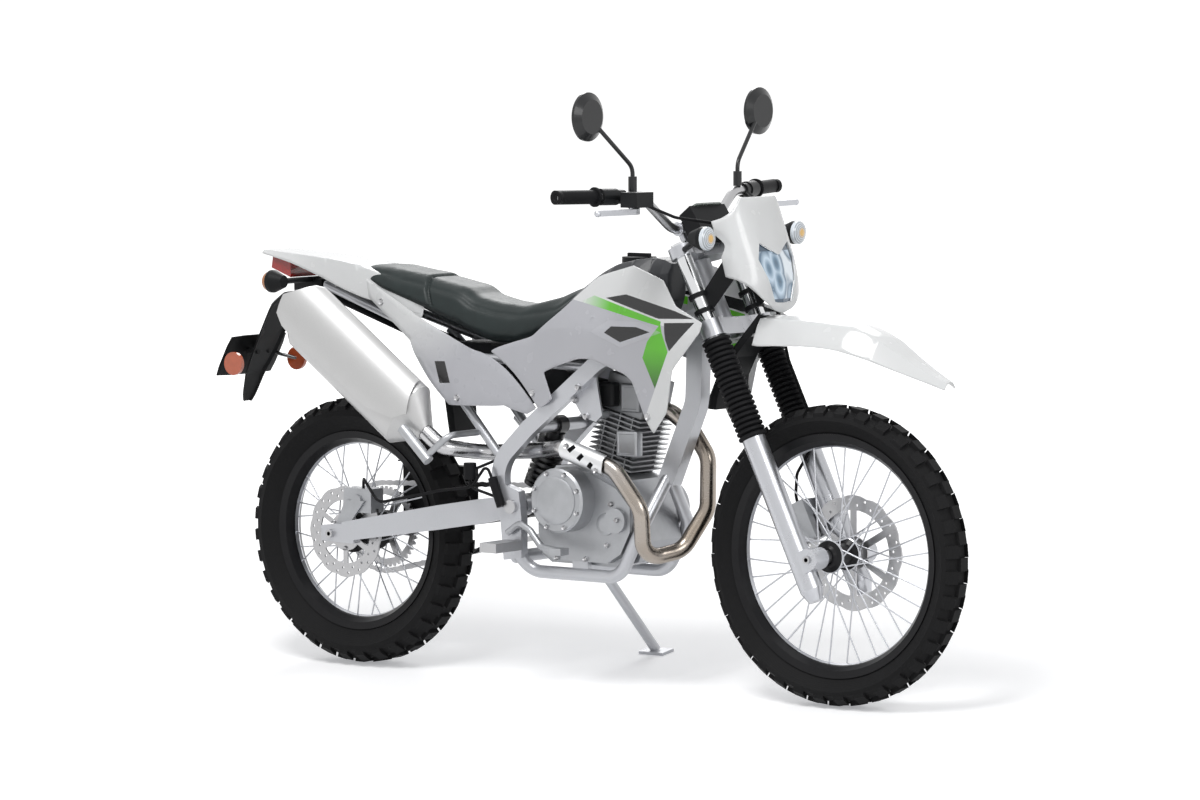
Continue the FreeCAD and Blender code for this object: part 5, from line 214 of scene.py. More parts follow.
class Finish:
    """A material of one principled shader and the nodes that vary it."""

    def __init__(self, name, colour, roughness, metallic=0.0, **constants):
        self.material = bpy.data.materials.new(name)
        self.material.use_nodes = True
        self.tree = self.material.node_tree
        self.shader = self.tree.nodes["Principled BSDF"]
        self.hold("Base Color", (*colour, 1.0))
        self.hold("Roughness", roughness)
        self.hold("Metallic", metallic)
        for socket, value in constants.items():
            self.hold(socket.replace("_", " ").title(), value)
        self.places = self.add("ShaderNodeTexCoord", {}, {}).outputs["Object"]

    def hold(self, socket, value):
        """Set a constant on the shader's own socket."""
        self.shader.inputs[socket].default_value = value

    def vary(self, socket, value):
        """Lead a value that changes over the surface into the shader."""
        self.feed(self.shader.inputs[socket], value)

    def add(self, kind, settings, inputs):
        node = self.tree.nodes.new(kind)
        for key, value in settings.items():
            if key == "stops":
                self.set_stops(node.color_ramp, value)
            else:
                setattr(node, key, value)
        for key, value in inputs.items():
            self.feed(node.inputs[key], value)
        return node

    def set_stops(self, ramp, stops):
        while len(ramp.elements) < len(stops):
            ramp.elements.new(1.0)
        for element, (place, colour) in zip(ramp.elements, stops):
            element.position = place
            element.color = colour

    def feed(self, socket, value):
        if isinstance(value, Value):
            self.tree.links.new(value.socket, socket)
        elif isinstance(value, bpy.types.NodeSocket):
            self.tree.links.new(value, socket)
        elif isinstance(value, (tuple, list)) and len(socket.default_value) > len(value):
            socket.default_value = (*value, 1.0)
        else:
            socket.default_value = value

    def mapped(self, scale):
        return self.add("ShaderNodeMapping", {}, {"Vector": self.places, "Scale": scale}).outputs[0]

    def noise(self, scale, detail=3.0, roughness=0.5, where=None):
        node = self.add("ShaderNodeTexNoise", {}, {"Vector": where or self.places, "Scale": scale,
                                                   "Detail": detail, "Roughness": roughness})
        return Value(self, node.outputs["Fac"])

    def cells(self, scale, where=None):
        node = self.add("ShaderNodeTexVoronoi", {},
                        {"Vector": where or self.places, "Scale": scale})
        return Value(self, node.outputs["Distance"])

    def axes(self, where=None):
        node = self.add("ShaderNodeSeparateXYZ", {}, {0: where or self.places})
        return [Value(self, output) for output in node.outputs]

    def upright_axes(self):
        """Along, to the left and up on the upright machine, whatever way the piece leans."""
        moved = self.add("ShaderNodeVectorMath", {"operation": "SUBTRACT"},
                         {0: self.places, 1: UPRIGHT_SHIFT[:]})
        turned = self.add("ShaderNodeMapping", {},
                          {"Vector": moved.outputs[0], "Rotation": (LEAN, 0, 0)})
        return self.axes(turned.outputs[0])

    def beside(self, across, up, start, end):
        """One on the left of the line from start to end, nought on its right."""
        run = (end[0] - start[0], end[1] - start[1])
        return up * run[0] - across * run[1] > start[1] * run[0] - start[0] * run[1]

    def inside(self, across, up, corners):
        """One inside a convex shape whose corners go round anticlockwise."""
        share = self.beside(across, up, corners[-1], corners[0])
        for start, end in zip(corners, corners[1:]):
            share = share * self.beside(across, up, start, end)
        return share

    def ring(self, across, up, centre):
        """Distance from a centre."""
        along, high = across - centre[0], up - centre[1]
        return (along * along + high * high).root()

    def mix(self, share, first, second):
        node = self.add("ShaderNodeMix", {"data_type": "RGBA"}, {0: share, 6: first, 7: second})
        return node.outputs[2]

    def mottled(self, share, colour, first, second):
        """A colour that wanders between two shares of itself."""
        return self.mix(share, toned(colour, first), toned(colour, second))

    def paint(self, colour):
        self.vary("Base Color", colour)

    def gloss(self, share, span, lowest):
        """Roughness that wanders over a span from its lowest."""
        self.vary("Roughness", share * span + lowest)

    def bump(self, height, strength, distance):
        node = self.add("ShaderNodeBump", {},
                        {"Height": height, "Strength": strength, "Distance": distance})
        self.vary("Normal", node.outputs[0])


def toned(colour, share):
    return tuple(share * channel for channel in colour)


def plastic(name, colour, roughness, grain, coat=0.0, shine=0.5):
    """Moulded plastic: faint flow marks, handling haze and a fine surface grain."""
    finish = Finish(name, colour, roughness, coat_weight=coat, coat_roughness=0.05)
    finish.hold("Specular IOR Level", shine)
    flow = finish.noise(MOULD_FLOW, detail=4.0)
    finish.paint(finish.mottled(flow, colour, first=0.96, second=1.03))
    finish.gloss(finish.noise(HANDLING_HAZE, detail=2.0), span=0.08, lowest=roughness - 0.04)
    finish.bump(finish.noise(grain, detail=2.0), strength=0.08, distance=GRAIN_DEPTH)
    return finish


def paint(name, colour, roughness, metallic):
    """Sprayed paint with metal flake, a little orange peel and dust in its film."""
    finish = Finish(name, colour, roughness, metallic, coat_weight=0.3, coat_roughness=0.12)
    flake = finish.noise(METAL_FLAKE, detail=1.0)
    finish.paint(finish.mottled(flake, colour, first=0.88, second=1.06))
    finish.gloss(finish.noise(PAINT_FILM, detail=4.0), span=0.14, lowest=roughness - 0.06)
    finish.bump(finish.noise(ORANGE_PEEL, detail=1.0), strength=0.06, distance=GRAIN_DEPTH)
    return finish


def casting(name, colour, roughness):
    """Sand cast alloy: a fine pebbled skin with darker hollows."""
    finish = Finish(name, colour, roughness, metallic=0.8)
    stain = finish.noise(CAST_STAINS, detail=5.0, roughness=0.6)
    finish.paint(finish.mottled(stain, colour, first=0.66, second=1.08))
    finish.gloss(stain, span=0.2, lowest=roughness - 0.1)
    pebbles = finish.noise(CAST_PEBBLES, detail=3.0) * 0.6
    finish.bump(finish.cells(CAST_PITS) + pebbles, strength=0.25, distance=RIB_DEPTH)
    return finish


def metal(name, colour, roughness, stretch):
    """Drawn or brushed metal with fine lines along one way and a handling stain."""
    finish = Finish(name, colour, roughness, metallic=1.0)
    lines = finish.noise(BRUSHED_LINES, detail=6.0, roughness=0.7, where=finish.mapped(stretch))
    stain = finish.noise(METAL_STAINS, detail=4.0, roughness=0.6)
    finish.paint(finish.mottled(stain, colour, first=1.0, second=0.82))
    finish.gloss(lines, span=0.22, lowest=roughness - 0.1)
    finish.bump(lines, strength=0.1, distance=GRAIN_DEPTH)
    return finish


def rubber(name, colour, roughness, grain, shine=0.12):
    """Matt rubber with dust in its grain."""
    finish = Finish(name, colour, roughness)
    finish.hold("Specular IOR Level", shine)
    dust = finish.noise(RUBBER_DUST, detail=6.0, roughness=0.65)
    finish.paint(finish.mottled(dust, colour, first=0.7, second=1.7))
    finish.gloss(dust, span=0.2, lowest=roughness - 0.1)
    finish.bump(finish.noise(grain, detail=3.0), strength=0.3, distance=RUBBER_DEPTH)
    return finish


def lens(name, colour, roughness, see_through):
    """A moulded lens: tinted body under a clear gloss, with fine prisms."""
    finish = Finish(name, colour, roughness, coat_weight=0.8, coat_roughness=0.03,
                    transmission_weight=see_through)
    _, side, up = finish.axes()
    prisms = (up * LENS_PRISMS).wave() * (side * LENS_PRISMS).wave()
    finish.paint(finish.mottled(finish.noise(LENS_TINT), colour, first=0.8, second=1.0))
    finish.bump(prisms, strength=0.2, distance=RIB_DEPTH)
    return finish


def tyre_rubber():
    """Tread and flank of a knobbly tyre: moulding lines round the flank and dust on the knobs."""
    finish = rubber("tyre rubber", TYRE_BLACK, roughness=0.68, grain=TYRE_GRAIN, shine=0.14)
    across, _, up = finish.upright_axes()
    reach = finish.ring(across, up, FRONT_HUB).smaller(finish.ring(across, up, REAR_HUB))
    rings = (reach * FLANK_RINGS).wave() * 0.3
    finish.bump(rings + finish.noise(TYRE_GRAIN, detail=3.0), strength=0.35, distance=RUBBER_DEPTH)
    return finish


def spoked_wheel(name, centre, spokes):
    """Black rim and hub with bright spokes between them."""
    finish = paint(name, BLACK, roughness=0.3, metallic=0.1)
    across, _, up = finish.upright_axes()
    reach = finish.ring(across, up, centre)
    bright = (reach > spokes[0]) * (reach < spokes[1])
    colour = finish.mix(bright, toned(BLACK, 1.3), SILVER)
    flake = finish.noise(RIM_FLAKE, detail=3.0)
    finish.hold("Coat Weight", 0.05)
    finish.hold("Specular IOR Level", 0.16)
    finish.paint(finish.mix(flake * 0.02, colour, toned(STEEL, 0.6)))
    finish.vary("Metallic", bright * 0.95)
    finish.gloss(flake, span=0.12, lowest=0.26)
    finish.bump(finish.noise(RIM_PEEL, detail=1.0), strength=0.04, distance=GRAIN_DEPTH)
    return finish


def shroud_plastic():
    """White and grey panel, its lower grey partly paint and partly painted shade, with a plain green
    and black wedge and a vent opening painted black as painted shade in a raised lip.
    """
    finish = plastic("shroud plastic", WHITE, roughness=0.26, grain=PANEL_GRAIN, coat=0.3)
    across, _, up = finish.upright_axes()
    flow = finish.noise(PANEL_FLOW, detail=1.0)
    white = finish.mottled(flow, WHITE, first=0.97, second=1.03)
    # The lower part of the panel turns grey: partly its paint, partly painted shade.
    grey = finish.mottled(flow, PEARL_GREY_AND_SHADE, first=0.96, second=1.05)
    lower = finish.beside(across, up, GREY_EDGE[1], GREY_EDGE[0])
    behind = finish.beside(across, up, GREEN_POINT[3], GREEN_POINT[4])
    base = finish.mix(lower * behind, white, grey)
    fade = across.rise(GREEN_BLADE[0][0], GREEN_BLADE[0][0] + GREEN_FADE)
    base = finish.mix(finish.inside(across, up, GREEN_BLADE) * fade, base, GREEN)
    low_fade = up.rise(GREEN_POINT[3][1], GREEN_POINT[3][1] + GREEN_FADE)
    green = finish.mix(low_fade, toned(DEEP_GREEN, 0.8), GREEN)
    base = finish.mix(finish.inside(across, up, GREEN_POINT), base, green)
    black = finish.inside(across, up, BLACK_BLADE).larger(finish.inside(across, up, BLACK_FACET))
    base = finish.mix(black, base, SOOT)
    # The vent opening is painted black: a painted shade in the recess.
    vent = finish.inside(across, up, VENT)
    lip = finish.inside(across, up, VENT_LIP)
    base = finish.mix(lip * 0.35, base, toned(PEARL_GREY_AND_SHADE, 1.2))
    finish.paint(finish.mix(vent, base, BLACK))
    grain = finish.noise(PANEL_GRAIN, detail=2.0)
    finish.bump(lip - vent * 2.0 + grain * 0.03, strength=0.9, distance=MARK_DEPTH)
    return finish


def cover_plastic():
    """Side panel that runs from white to grey, the grey partly paint and partly painted shade, with a
    short slot painted black as painted shade.
    """
    finish = plastic("side cover plastic", PEARL_GREY_AND_SHADE, roughness=0.28, grain=PANEL_GRAIN, coat=0.3)
    across, _, up = finish.upright_axes()
    flow = finish.noise(PANEL_FLOW, detail=1.0)
    white = finish.mottled(flow, WHITE, first=0.97, second=1.03)
    grey = finish.mottled(flow, PEARL_GREY_AND_SHADE, first=0.98, second=1.08)
    # The panel turns grey towards its lower front: partly its paint, partly painted shade.
    share = (across * COVER_FADE_SLOPE - up).rise(*COVER_FADE)
    # The slot is painted black: a painted shade in its opening.
    slot = finish.inside(across, up, COVER_SLOT_SHADE)
    finish.paint(finish.mix(slot, finish.mix(share, white, grey), BLACK))
    grain = finish.noise(PANEL_GRAIN, detail=2.0)
    finish.bump(grain * 0.05 - slot, strength=0.6, distance=MARK_DEPTH)
    return finish


def shield_steel():
    """Satin heat shield with slots painted black as painted shade."""
    finish = metal("satin shield steel", CHROME, roughness=0.34, stretch=(1, 8, 8))
    across, _, up = finish.upright_axes()
    slots = finish.inside(across, up, SHIELD_SLOT_SHADES[0])
    for corners in SHIELD_SLOT_SHADES[1:]:
        slots = slots.larger(finish.inside(across, up, corners))
    # The slots are painted black: a painted shade in their openings.
    finish.paint(finish.mix(slots, toned(CHROME, 0.9), BLACK))
    return finish


def header_steel():
    """Header steel that the heat has tinted bronze towards the port."""
    finish = metal("heat tinted steel", STEEL, roughness=0.24, stretch=(1, 6, 6))
    across, _, _ = finish.upright_axes()
    heat = across.rise(*HEAT_RUN) * (finish.noise(HEAT_STAINS, detail=4.0) * 0.7 + 0.55)
    finish.paint(finish.mix(heat, STEEL, BRONZE))
    return finish


def sooty(finish):
    return finish.mottled(finish.noise(SOOT_FLOW), SOOT, first=1.0, second=1.5)


def control_plastic():
    """Black switch housings with the bright levers in front of them."""
    finish = plastic("control housings and levers", SOOT, roughness=0.42, grain=FINE_GRAIN,
                     shine=0.2)
    across, _, up = finish.upright_axes()
    lever = (across > LEVERS_FROM) * (up < LEVERS_UNDER)
    finish.paint(finish.mix(lever, sooty(finish), SILVER))
    finish.vary("Metallic", lever * 0.9)
    return finish


def mirror_shell():
    """Black mirror shells with glass on their rear faces."""
    finish = plastic("mirror shells and glass", SOOT, roughness=0.3, grain=FINE_GRAIN, coat=0.2,
                     shine=0.35)
    across, _, _ = finish.upright_axes()
    glass = across < MIRROR_GLASS_AT
    finish.paint(finish.mix(glass, sooty(finish), CHROME))
    finish.vary("Metallic", glass)
    finish.gloss(finish.noise(HANDLING_HAZE, detail=5.0) - glass * 2.5, span=0.1, lowest=0.27)
    return finish


def lamp_reflector():
    """Pale blue facets of the lamp's bowl behind its lens, painted light and dark as painted
    reflections, with a dark surround.
    """
    finish = Finish("lamp facets", ICE, roughness=0.12, metallic=0.35, coat_weight=1.0,
                    coat_roughness=0.02)
    _, side, up = finish.upright_axes()
    facets = finish.cells(FACET_CELLS, finish.mapped((1, 1.5, 0.8)))
    # Each facet is painted lighter and darker: painted reflections on the facets.
    tone = finish.add("ShaderNodeValToRGB", {"stops": PAINTED_REFLECTION_STOPS}, {"Fac": facets * 1.3})
    width = (up - BOWL_FOOT) * BOWL_SPREAD + BOWL_FOOT_HALF
    rim = (abs(side) > width).larger((up < BOWL_SPAN[0]).larger(up > BOWL_SPAN[1]))
    finish.paint(finish.mix(rim, tone.outputs[0], NIGHT_BLUE))
    finish.bump(facets, strength=0.5, distance=FACET_DEPTH)
    return finish


def signal_lens(name, glass, bulb):
    """Ribbed lens with the warm bulb showing at its middle, its rings painted light and dark as
    painted glints.
    """
    finish = Finish(name, glass, roughness=0.1, coat_weight=1.0, coat_roughness=0.02)
    _, side, up = finish.upright_axes()
    near = finish.ring(abs(side), up, FRONT_BULB).smaller(finish.ring(abs(side), up, REAR_BULB))
    ribs = (near * LENS_RIBS).wave()
    # Painted glints: the rings of the lens are painted lighter and darker along its ribs.
    clear = finish.mottled(ribs * 0.5 + 0.5, glass, first=0.45, second=1.0)
    finish.paint(finish.mix(near.rise(*BULB_GLOW), bulb, clear))
    finish.bump(ribs, strength=0.4, distance=RUBBER_DEPTH)
    return finish


def reflector_lens():
    """Round red orange reflectors on their black stalks."""
    finish = Finish("side reflector", REFLECTOR, roughness=0.16, coat_weight=0.8,
                    coat_roughness=0.03)
    across, side, up = finish.upright_axes()
    disc = abs(side) > REFLECTOR_FACE
    prisms = (up * REFLECTOR_PRISMS).wave() * (across * REFLECTOR_PRISMS).wave()
    tint = finish.noise(REFLECTOR_TINT)
    glass = finish.mottled(tint, REFLECTOR, first=0.75, second=1.0)
    finish.paint(finish.mix(disc, SOOT, glass))
    finish.bump(prisms * disc, strength=0.3, distance=RIB_DEPTH)
    return finish


def screen_glass():
    """Smoked instrument glass over a pale green grey display with plain bars."""
    finish = Finish("instrument glass", DISPLAY, roughness=0.12, coat_weight=1.0,
                    coat_roughness=0.03)
    _, side, _ = finish.upright_axes()
    bars = ((side * DISPLAY_BARS).wave() > 0.4) * (abs(side) < DISPLAY_HALF)
    display = finish.mottled(finish.noise(DISPLAY_TINT), DISPLAY, first=1.0, second=0.85)
    finish.paint(finish.mix(bars * 0.5, display, SOOT))
    return finish


def seat_vinyl():
    """Black green vinyl: leather grain, soft creases and a little shine where it is sat on."""
    finish = Finish("seat vinyl", SEAT_GREEN, roughness=0.5)
    finish.hold("Specular IOR Level", 0.35)
    crease = finish.noise(LEATHER_CREASES, detail=5.0, roughness=0.6)
    finish.paint(finish.mottled(crease, SEAT_GREEN, first=0.75, second=1.5))
    finish.gloss(crease, span=0.16, lowest=0.36)
    finish.bump(finish.cells(LEATHER_CELLS) + crease * 0.5, strength=0.3, distance=RIB_DEPTH)
    return finish


FINISHES = {
    "white_plastic": plastic("white moulded plastic", WHITE, roughness=0.26, grain=PANEL_GRAIN,
                             coat=0.3),
    "shroud_plastic": shroud_plastic(),
    "cover_plastic": cover_plastic(),
    "black_plastic": plastic("black moulded plastic", SOOT, roughness=0.5, grain=FINE_GRAIN,
                             shine=0.16),
    "grey_plastic": plastic("dark grey tank plastic", TANK_GREY, roughness=0.36,
                            grain=FINE_GRAIN, coat=0.1, shine=0.25),
    "silver_paint": paint("silver frame paint", SILVER, roughness=0.32, metallic=0.55),
    "black_paint": paint("black sprung parts", BLACK, roughness=0.34, metallic=0.2),
    "front_wheel": spoked_wheel("front wheel paint", FRONT_HUB, FRONT_SPOKES),
    "rear_wheel": spoked_wheel("rear wheel paint", REAR_HUB, REAR_SPOKES),
    "cast_alloy": casting("cast engine alloy", CAST_GREY, roughness=0.38),
    # The cylinder's alloy is darkened to a painted shade that stands for the shade between its fins.
    "shade_darkened_alloy": casting("shaded fin alloy", toned(CAST_GREY, 0.62), roughness=0.45),
    "fork_alloy": paint("clear coated fork alloy", SILVER, roughness=0.28, metallic=0.85),
    "plain_steel": metal("plain steel", STEEL, roughness=0.3, stretch=(1, 12, 12)),
    "pipe_steel": header_steel(),
    "shield_steel": shield_steel(),
    "can_steel": paint("blasted muffler steel", CAN_SILVER, roughness=0.42, metallic=0.7),
    "chrome": metal("bright chrome", CHROME, roughness=0.1, stretch=(8, 8, 1)),
    "tyre": tyre_rubber(),
    "soft_rubber": rubber("soft rubber", RUBBER_BLACK, roughness=0.55, grain=SOFT_GRAIN),
    "vinyl": seat_vinyl(),
    "clear_lens": lamp_reflector(),
    "reflector": reflector_lens(),
    "screen": screen_glass(),
    "red_lens": lens("red lens", RED, roughness=0.15, see_through=0.2),
    "front_signal_lens": signal_lens("clear signal lens", CLEAR_GLASS, WARM_BULB),
    "rear_signal_lens": signal_lens("amber signal lens", AMBER_GLASS, AMBER_BULB),
    "controls": control_plastic(),
    "mirror": mirror_shell(),
}

DRESSED_NODES = {
    "white_plastic": ["tail_fender", "front_fender", "headlamp_cowl"],
    "shroud_plastic": ["tank_shrouds"],
    "cover_plastic": ["side_covers"],
    "black_plastic": ["instrument", "intake", "rear_flap", "rear_mudguard", "chain_guards",
                      "headlamp_body", "fuel_cap", "cowl_brackets", "front_signals",
                      "rear_signals", "front_mudguard"],
    "grey_plastic": ["fuel_tank"],
    "silver_paint": ["main_frame", "subframe", "swingarm", "side_stand"],
    "black_paint": ["shock_absorber"],
    "front_wheel": ["front_wheel"],
    "rear_wheel": ["rear_wheel"],
    # The cylinder takes the alloy darkened with painted shade.
    "shade_darkened_alloy": ["cylinder"],
    "cast_alloy": ["engine_case", "engine_covers", "rear_caliper", "front_caliper", "foot_levers",
                   "passenger_pegs"],
    "fork_alloy": ["fork_legs", "fork_clamps"],
    "plain_steel": ["front_axle", "rear_axle", "pivot_bolt", "drive_chain", "rear_sprocket",
                    "front_disc", "rear_disc", "handlebar", "foot_pegs"],
    "pipe_steel": ["exhaust_pipe"],
    "shield_steel": ["pipe_shield"],
    "can_steel": ["muffler", "muffler_cover"],
    "chrome": ["fork_tubes"],
    "tyre": ["front_tyre", "rear_tyre"],
    "soft_rubber": ["grips", "fork_boots", "front_hose", "rear_hose"],
    "vinyl": ["seat"],
    "clear_lens": ["headlamp_lens"],
    "reflector": ["side_reflectors"],
    "red_lens": ["tail_lamp"],
    "controls": ["hand_controls"],
    "mirror": ["mirrors"],
}


def dress(node, finish):
    """Give a CAD node its material."""
    materials = NODES[node].data.materials
    materials.clear()
    materials.append(finish.material)


for finish_name, nodes in DRESSED_NODES.items():
    for node in nodes:
        dress(node, FINISHES[finish_name])

# Making of pieces
SHARP_EDGE = math.radians(30.0)
SAME_POINT = 0.00002
SAME_SPUN_POINT = 0.00003


def add_piece(name, bm, body, finish):
    """A finished piece from a bmesh, its place in its mesh, that rides on a body."""
    bmesh.ops.recalc_face_normals(bm, faces=bm.faces)
    mesh = bpy.data.meshes.new(name)
    bm.to_mesh(mesh)
    bm.free()
    mesh.shade_smooth()
    mesh.set_sharp_from_angle(angle=SHARP_EDGE)
    mesh.materials.append(FINISHES[finish].material)
    piece = bpy.data.objects.new(name, mesh)
    bpy.context.scene.collection.objects.link(piece)
    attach(piece, body)
    return piece


def copied(node):
    """A CAD node's mesh with the points of its loose triangles merged."""
    bm = bmesh.new()
    bm.from_mesh(NODES[node].data)
    bmesh.ops.remove_doubles(bm, verts=bm.verts, dist=SAME_POINT)
    return bm


def evaluated(piece):
    """Make a piece's modifiers into its mesh."""
    bpy.context.view_layer.update()
    graph = bpy.context.evaluated_depsgraph_get()
    mesh = bpy.data.meshes.new_from_object(piece.evaluated_get(graph))
    piece.modifiers.clear()
    piece.data = mesh


def subdivide(piece, levels):
    """Divide a piece's faces on smooth curves."""
    rounding = piece.modifiers.new("rounding", "SUBSURF")
    rounding.levels = levels
    rounding.render_levels = levels
    evaluated(piece)


def set_on_stand(bm):
    """Weld and close what was made upright and set it on the leaning machine."""
    bmesh.ops.remove_doubles(bm, verts=bm.verts, dist=SAME_SPUN_POINT)
    bmesh.ops.holes_fill(bm, edges=bm.edges)
    bmesh.ops.transform(bm, matrix=ONTO_STAND, verts=bm.verts)


# Rounded skins of the moulded panels
SKIN_EDGE = math.radians(26.0)
SKIN_SHARP_EDGE = math.radians(34.0)
SKIN_CREASE = 0.94
SKIN_LEVELS = 2
FLAT_PAIR = math.radians(14.0)
SQUARE_PAIR = math.radians(70.0)
SKINNED = (("tank_shrouds", "chassis", "shroud_plastic", "white_plastic"),
           ("side_covers", "chassis", "cover_plastic", "white_plastic"),
           ("tail_fender", "chassis", "white_plastic", "white_plastic"),
           ("front_fender", "steering", "white_plastic", "white_plastic"),
           ("headlamp_cowl", "steering", "white_plastic", "white_plastic"),
           ("fuel_tank", "chassis", "grey_plastic", "grey_plastic"),
           ("rear_flap", "chassis", "black_plastic", "black_plastic"))


def round_skin(node, body, finish, slot):
    """The panel's own form with its shallow facets drawn into one curve and its edges kept."""
    bm = copied(node)
    bmesh.ops.join_triangles(bm, faces=bm.faces, angle_face_threshold=FLAT_PAIR,
                             angle_shape_threshold=SQUARE_PAIR)
    creases = bm.edges.layers.float.new("crease_edge")
    for edge in bm.edges:
        if len(edge.link_faces) != 2 or edge.calc_face_angle(0.0) > SKIN_EDGE:
            edge[creases] = SKIN_CREASE
    piece = add_piece(node + "_skin", bm, body, finish)
    subdivide(piece, SKIN_LEVELS)
    piece.data.shade_smooth()
    piece.data.set_sharp_from_angle(angle=SKIN_SHARP_EDGE)
    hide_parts(node)


for row in SKINNED:
    round_skin(*row)

# Seat, with its seams in upright measures
SEAT_VOXEL = 0.0055
SEAT_INSET = 0.0025
SEAT_RISE = 0.006
SEAT_REST = 0.002
SEAT_UNDERSIDE = -0.2
SEAT_PRESSURE = 4.0
SEAT_QUALITY = 5
SEAT_FRAMES = 20
SEAT_SMOOTHINGS = 12
SEAT_LEVELS = 1
SEAM_AT = 0.83
SEAM_WIDTH = 0.0045
SEAM_DEPTH = 0.0026
SEAM_FACING = 0.05
CROSS_SEAM = (0.262, 0.910)
CROSS_SEAM_SLOPE = 0.45
CROSS_SEAM_DEPTH = 0.006
PILLION_LIFT = 0.004
PILLION_RAMP = 0.05
SEAT_BINS = 40


def hill(distance, width):
    """One at no distance, falling smoothly to nought past a width."""
    return math.exp(-(distance / width) ** 2)


def down_to_upright(place):
    return Matrix.Rotation(LEAN, 3, "X") @ (place - UPRIGHT_SHIFT)


def reshape(piece, *works):
    """Let functions change a piece's mesh."""
    bm = bmesh.new()
    bm.from_mesh(piece.data)
    for work in works:
        work(bm)
    bm.to_mesh(piece.data)
    bm.free()


def smooth(bm):
    bmesh.ops.smooth_vert(bm, verts=bm.verts, factor=0.5, use_axis_x=True, use_axis_y=True,
                          use_axis_z=True)


def shrink(bm):
    """Draw the foam in, to leave the cover room to swell."""
    bm.normal_update()
    for vert in bm.verts:
        vert.co -= vert.normal * SEAT_INSET


def puff_up(piece):
    """Swell the cover with cloth and pressure."""
    settings = piece.modifiers.new("cover", "CLOTH").settings
    settings.quality = SEAT_QUALITY
    settings.use_pressure = True
    settings.uniform_pressure_force = SEAT_PRESSURE
    settings.effector_weights.gravity = 0.0
    scene = bpy.context.scene
    scene.frame_start, scene.frame_end = 1, SEAT_FRAMES
    for moment in range(1, SEAT_FRAMES + 1):
        scene.frame_set(moment)
    evaluated(piece)
    scene.frame_set(1)


def sew(bm):
    """Press in the line along both top edges and the one between rider's and pillion's parts."""
    bm.normal_update()
    places = {vert: down_to_upright(vert.co) for vert in bm.verts}
    start = min(place.x for place in places.values())
    span = max(place.x for place in places.values()) - start
    widths = [0.0] * (SEAT_BINS + 1)
    for place in places.values():
        index = round((place.x - start) / span * SEAT_BINS)
        widths[index] = max(widths[index], abs(place.y))
    pushes = {}
    for vert, place in places.items():
        if vert.normal.z < SEAM_FACING:
            continue
        step = (place.x - start) / span * SEAT_BINS
        index = min(int(step), SEAT_BINS - 1)
        half = widths[index] + (widths[index + 1] - widths[index]) * (step - index)
        off_edge = abs(place.y) - SEAM_AT * half
        off_cross = place.x - CROSS_SEAM[0] - CROSS_SEAM_SLOPE * (CROSS_SEAM[1] - place.z)
        push = max(SEAM_DEPTH * hill(off_edge, SEAM_WIDTH),
                   CROSS_SEAM_DEPTH * hill(off_cross, SEAM_WIDTH))
        if off_cross < 0:
            push -= PILLION_LIFT * hill(off_cross, PILLION_RAMP)
        pushes[vert] = push
    for vert, push in pushes.items():
        vert.co -= vert.normal * push


def add_seat():
    """The padded seat: an even mesh, swelled no further than its foam, smoothed and sewn."""
    piece = add_piece("seat_pad", copied("seat"), "chassis", "vinyl")
    remesh = piece.modifiers.new("even mesh", "REMESH")
    remesh.mode = "VOXEL"
    remesh.voxel_size = SEAT_VOXEL
    evaluated(piece)
    reshape(piece, smooth, shrink)
    before = [vert.co.copy() for vert in piece.data.vertices]
    facing = [vert.normal.copy() for vert in piece.data.vertices]
    puff_up(piece)
    for vert, place, normal in zip(piece.data.vertices, before, facing):
        limit = SEAT_RISE if normal.z > SEAT_UNDERSIDE else SEAT_REST
        move = vert.co - place
        if move.length > limit:
            vert.co = place + move.normalized() * limit
    reshape(piece, *[smooth] * SEAT_SMOOTHINGS)
    subdivide(piece, SEAT_LEVELS)
    reshape(piece, sew)
    piece.data.shade_smooth()
    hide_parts("seat")


add_seat()

# Screws and nuts, upright: node, along and up; a kind is its radius and height
RIGHT = Vector((0.0, -1.0, 0.0))
LEFT = Vector((0.0, 1.0, 0.0))
BOTH = (RIGHT, LEFT)
FAR = 0.8
SCREW_SEGMENTS = 14
NUT_SIDES = 6
HEAD_TAPER = 0.82
SOCKET_EDGE = 0.38
SOCKET_DEPTH = 0.5
HEAD_LIFT = 0.4
PANEL_SCREW = (0.0085, 0.004)
COVER_SCREW = (0.006, 0.006)
CASE_SCREW = (0.0065, 0.007)
SHIELD_SCREW = (0.007, 0.005)
HANGER_NUT = (0.009, 0.008)
DISC_SCREW = (0.006, 0.005)
COVER_RING = ((0.695, 0.438), 0.066, 8)
DISC_RING = (0.040, 6)
CASE_SCREWS = ((0.660, 0.300), (0.743, 0.302), (0.805, 0.338), (0.816, 0.433), (0.840, 0.398))
PANEL_SCREWS = (("side_covers", 0.388, 0.661), ("tank_shrouds", 0.612, 0.682),
                ("side_covers", 0.140, 0.876), ("tank_shrouds", 0.966, 0.645))
SHIELD_SCREWS = ((0.735, 0.567), (0.818, 0.515))
HANGER_NUTS = ((0.739, 0.700), (0.714, 0.668), (0.745, 0.632))
DISCS = (("front_disc_screws", "front_disc", FRONT_HUB, "front_wheel", LEFT),
         ("rear_disc_screws", "rear_disc", REAR_HUB, "rear_wheel", RIGHT))

SURFACES = {}


def surface_of(node):
    """A CAD node's faces, ready to be met by rays, also where the node is hidden."""
    if node not in SURFACES:
        mesh = NODES[node].data
        SURFACES[node] = BVHTree.FromPolygons([vert.co for vert in mesh.vertices],
                                              [face.vertices for face in mesh.polygons])
    return SURFACES[node]


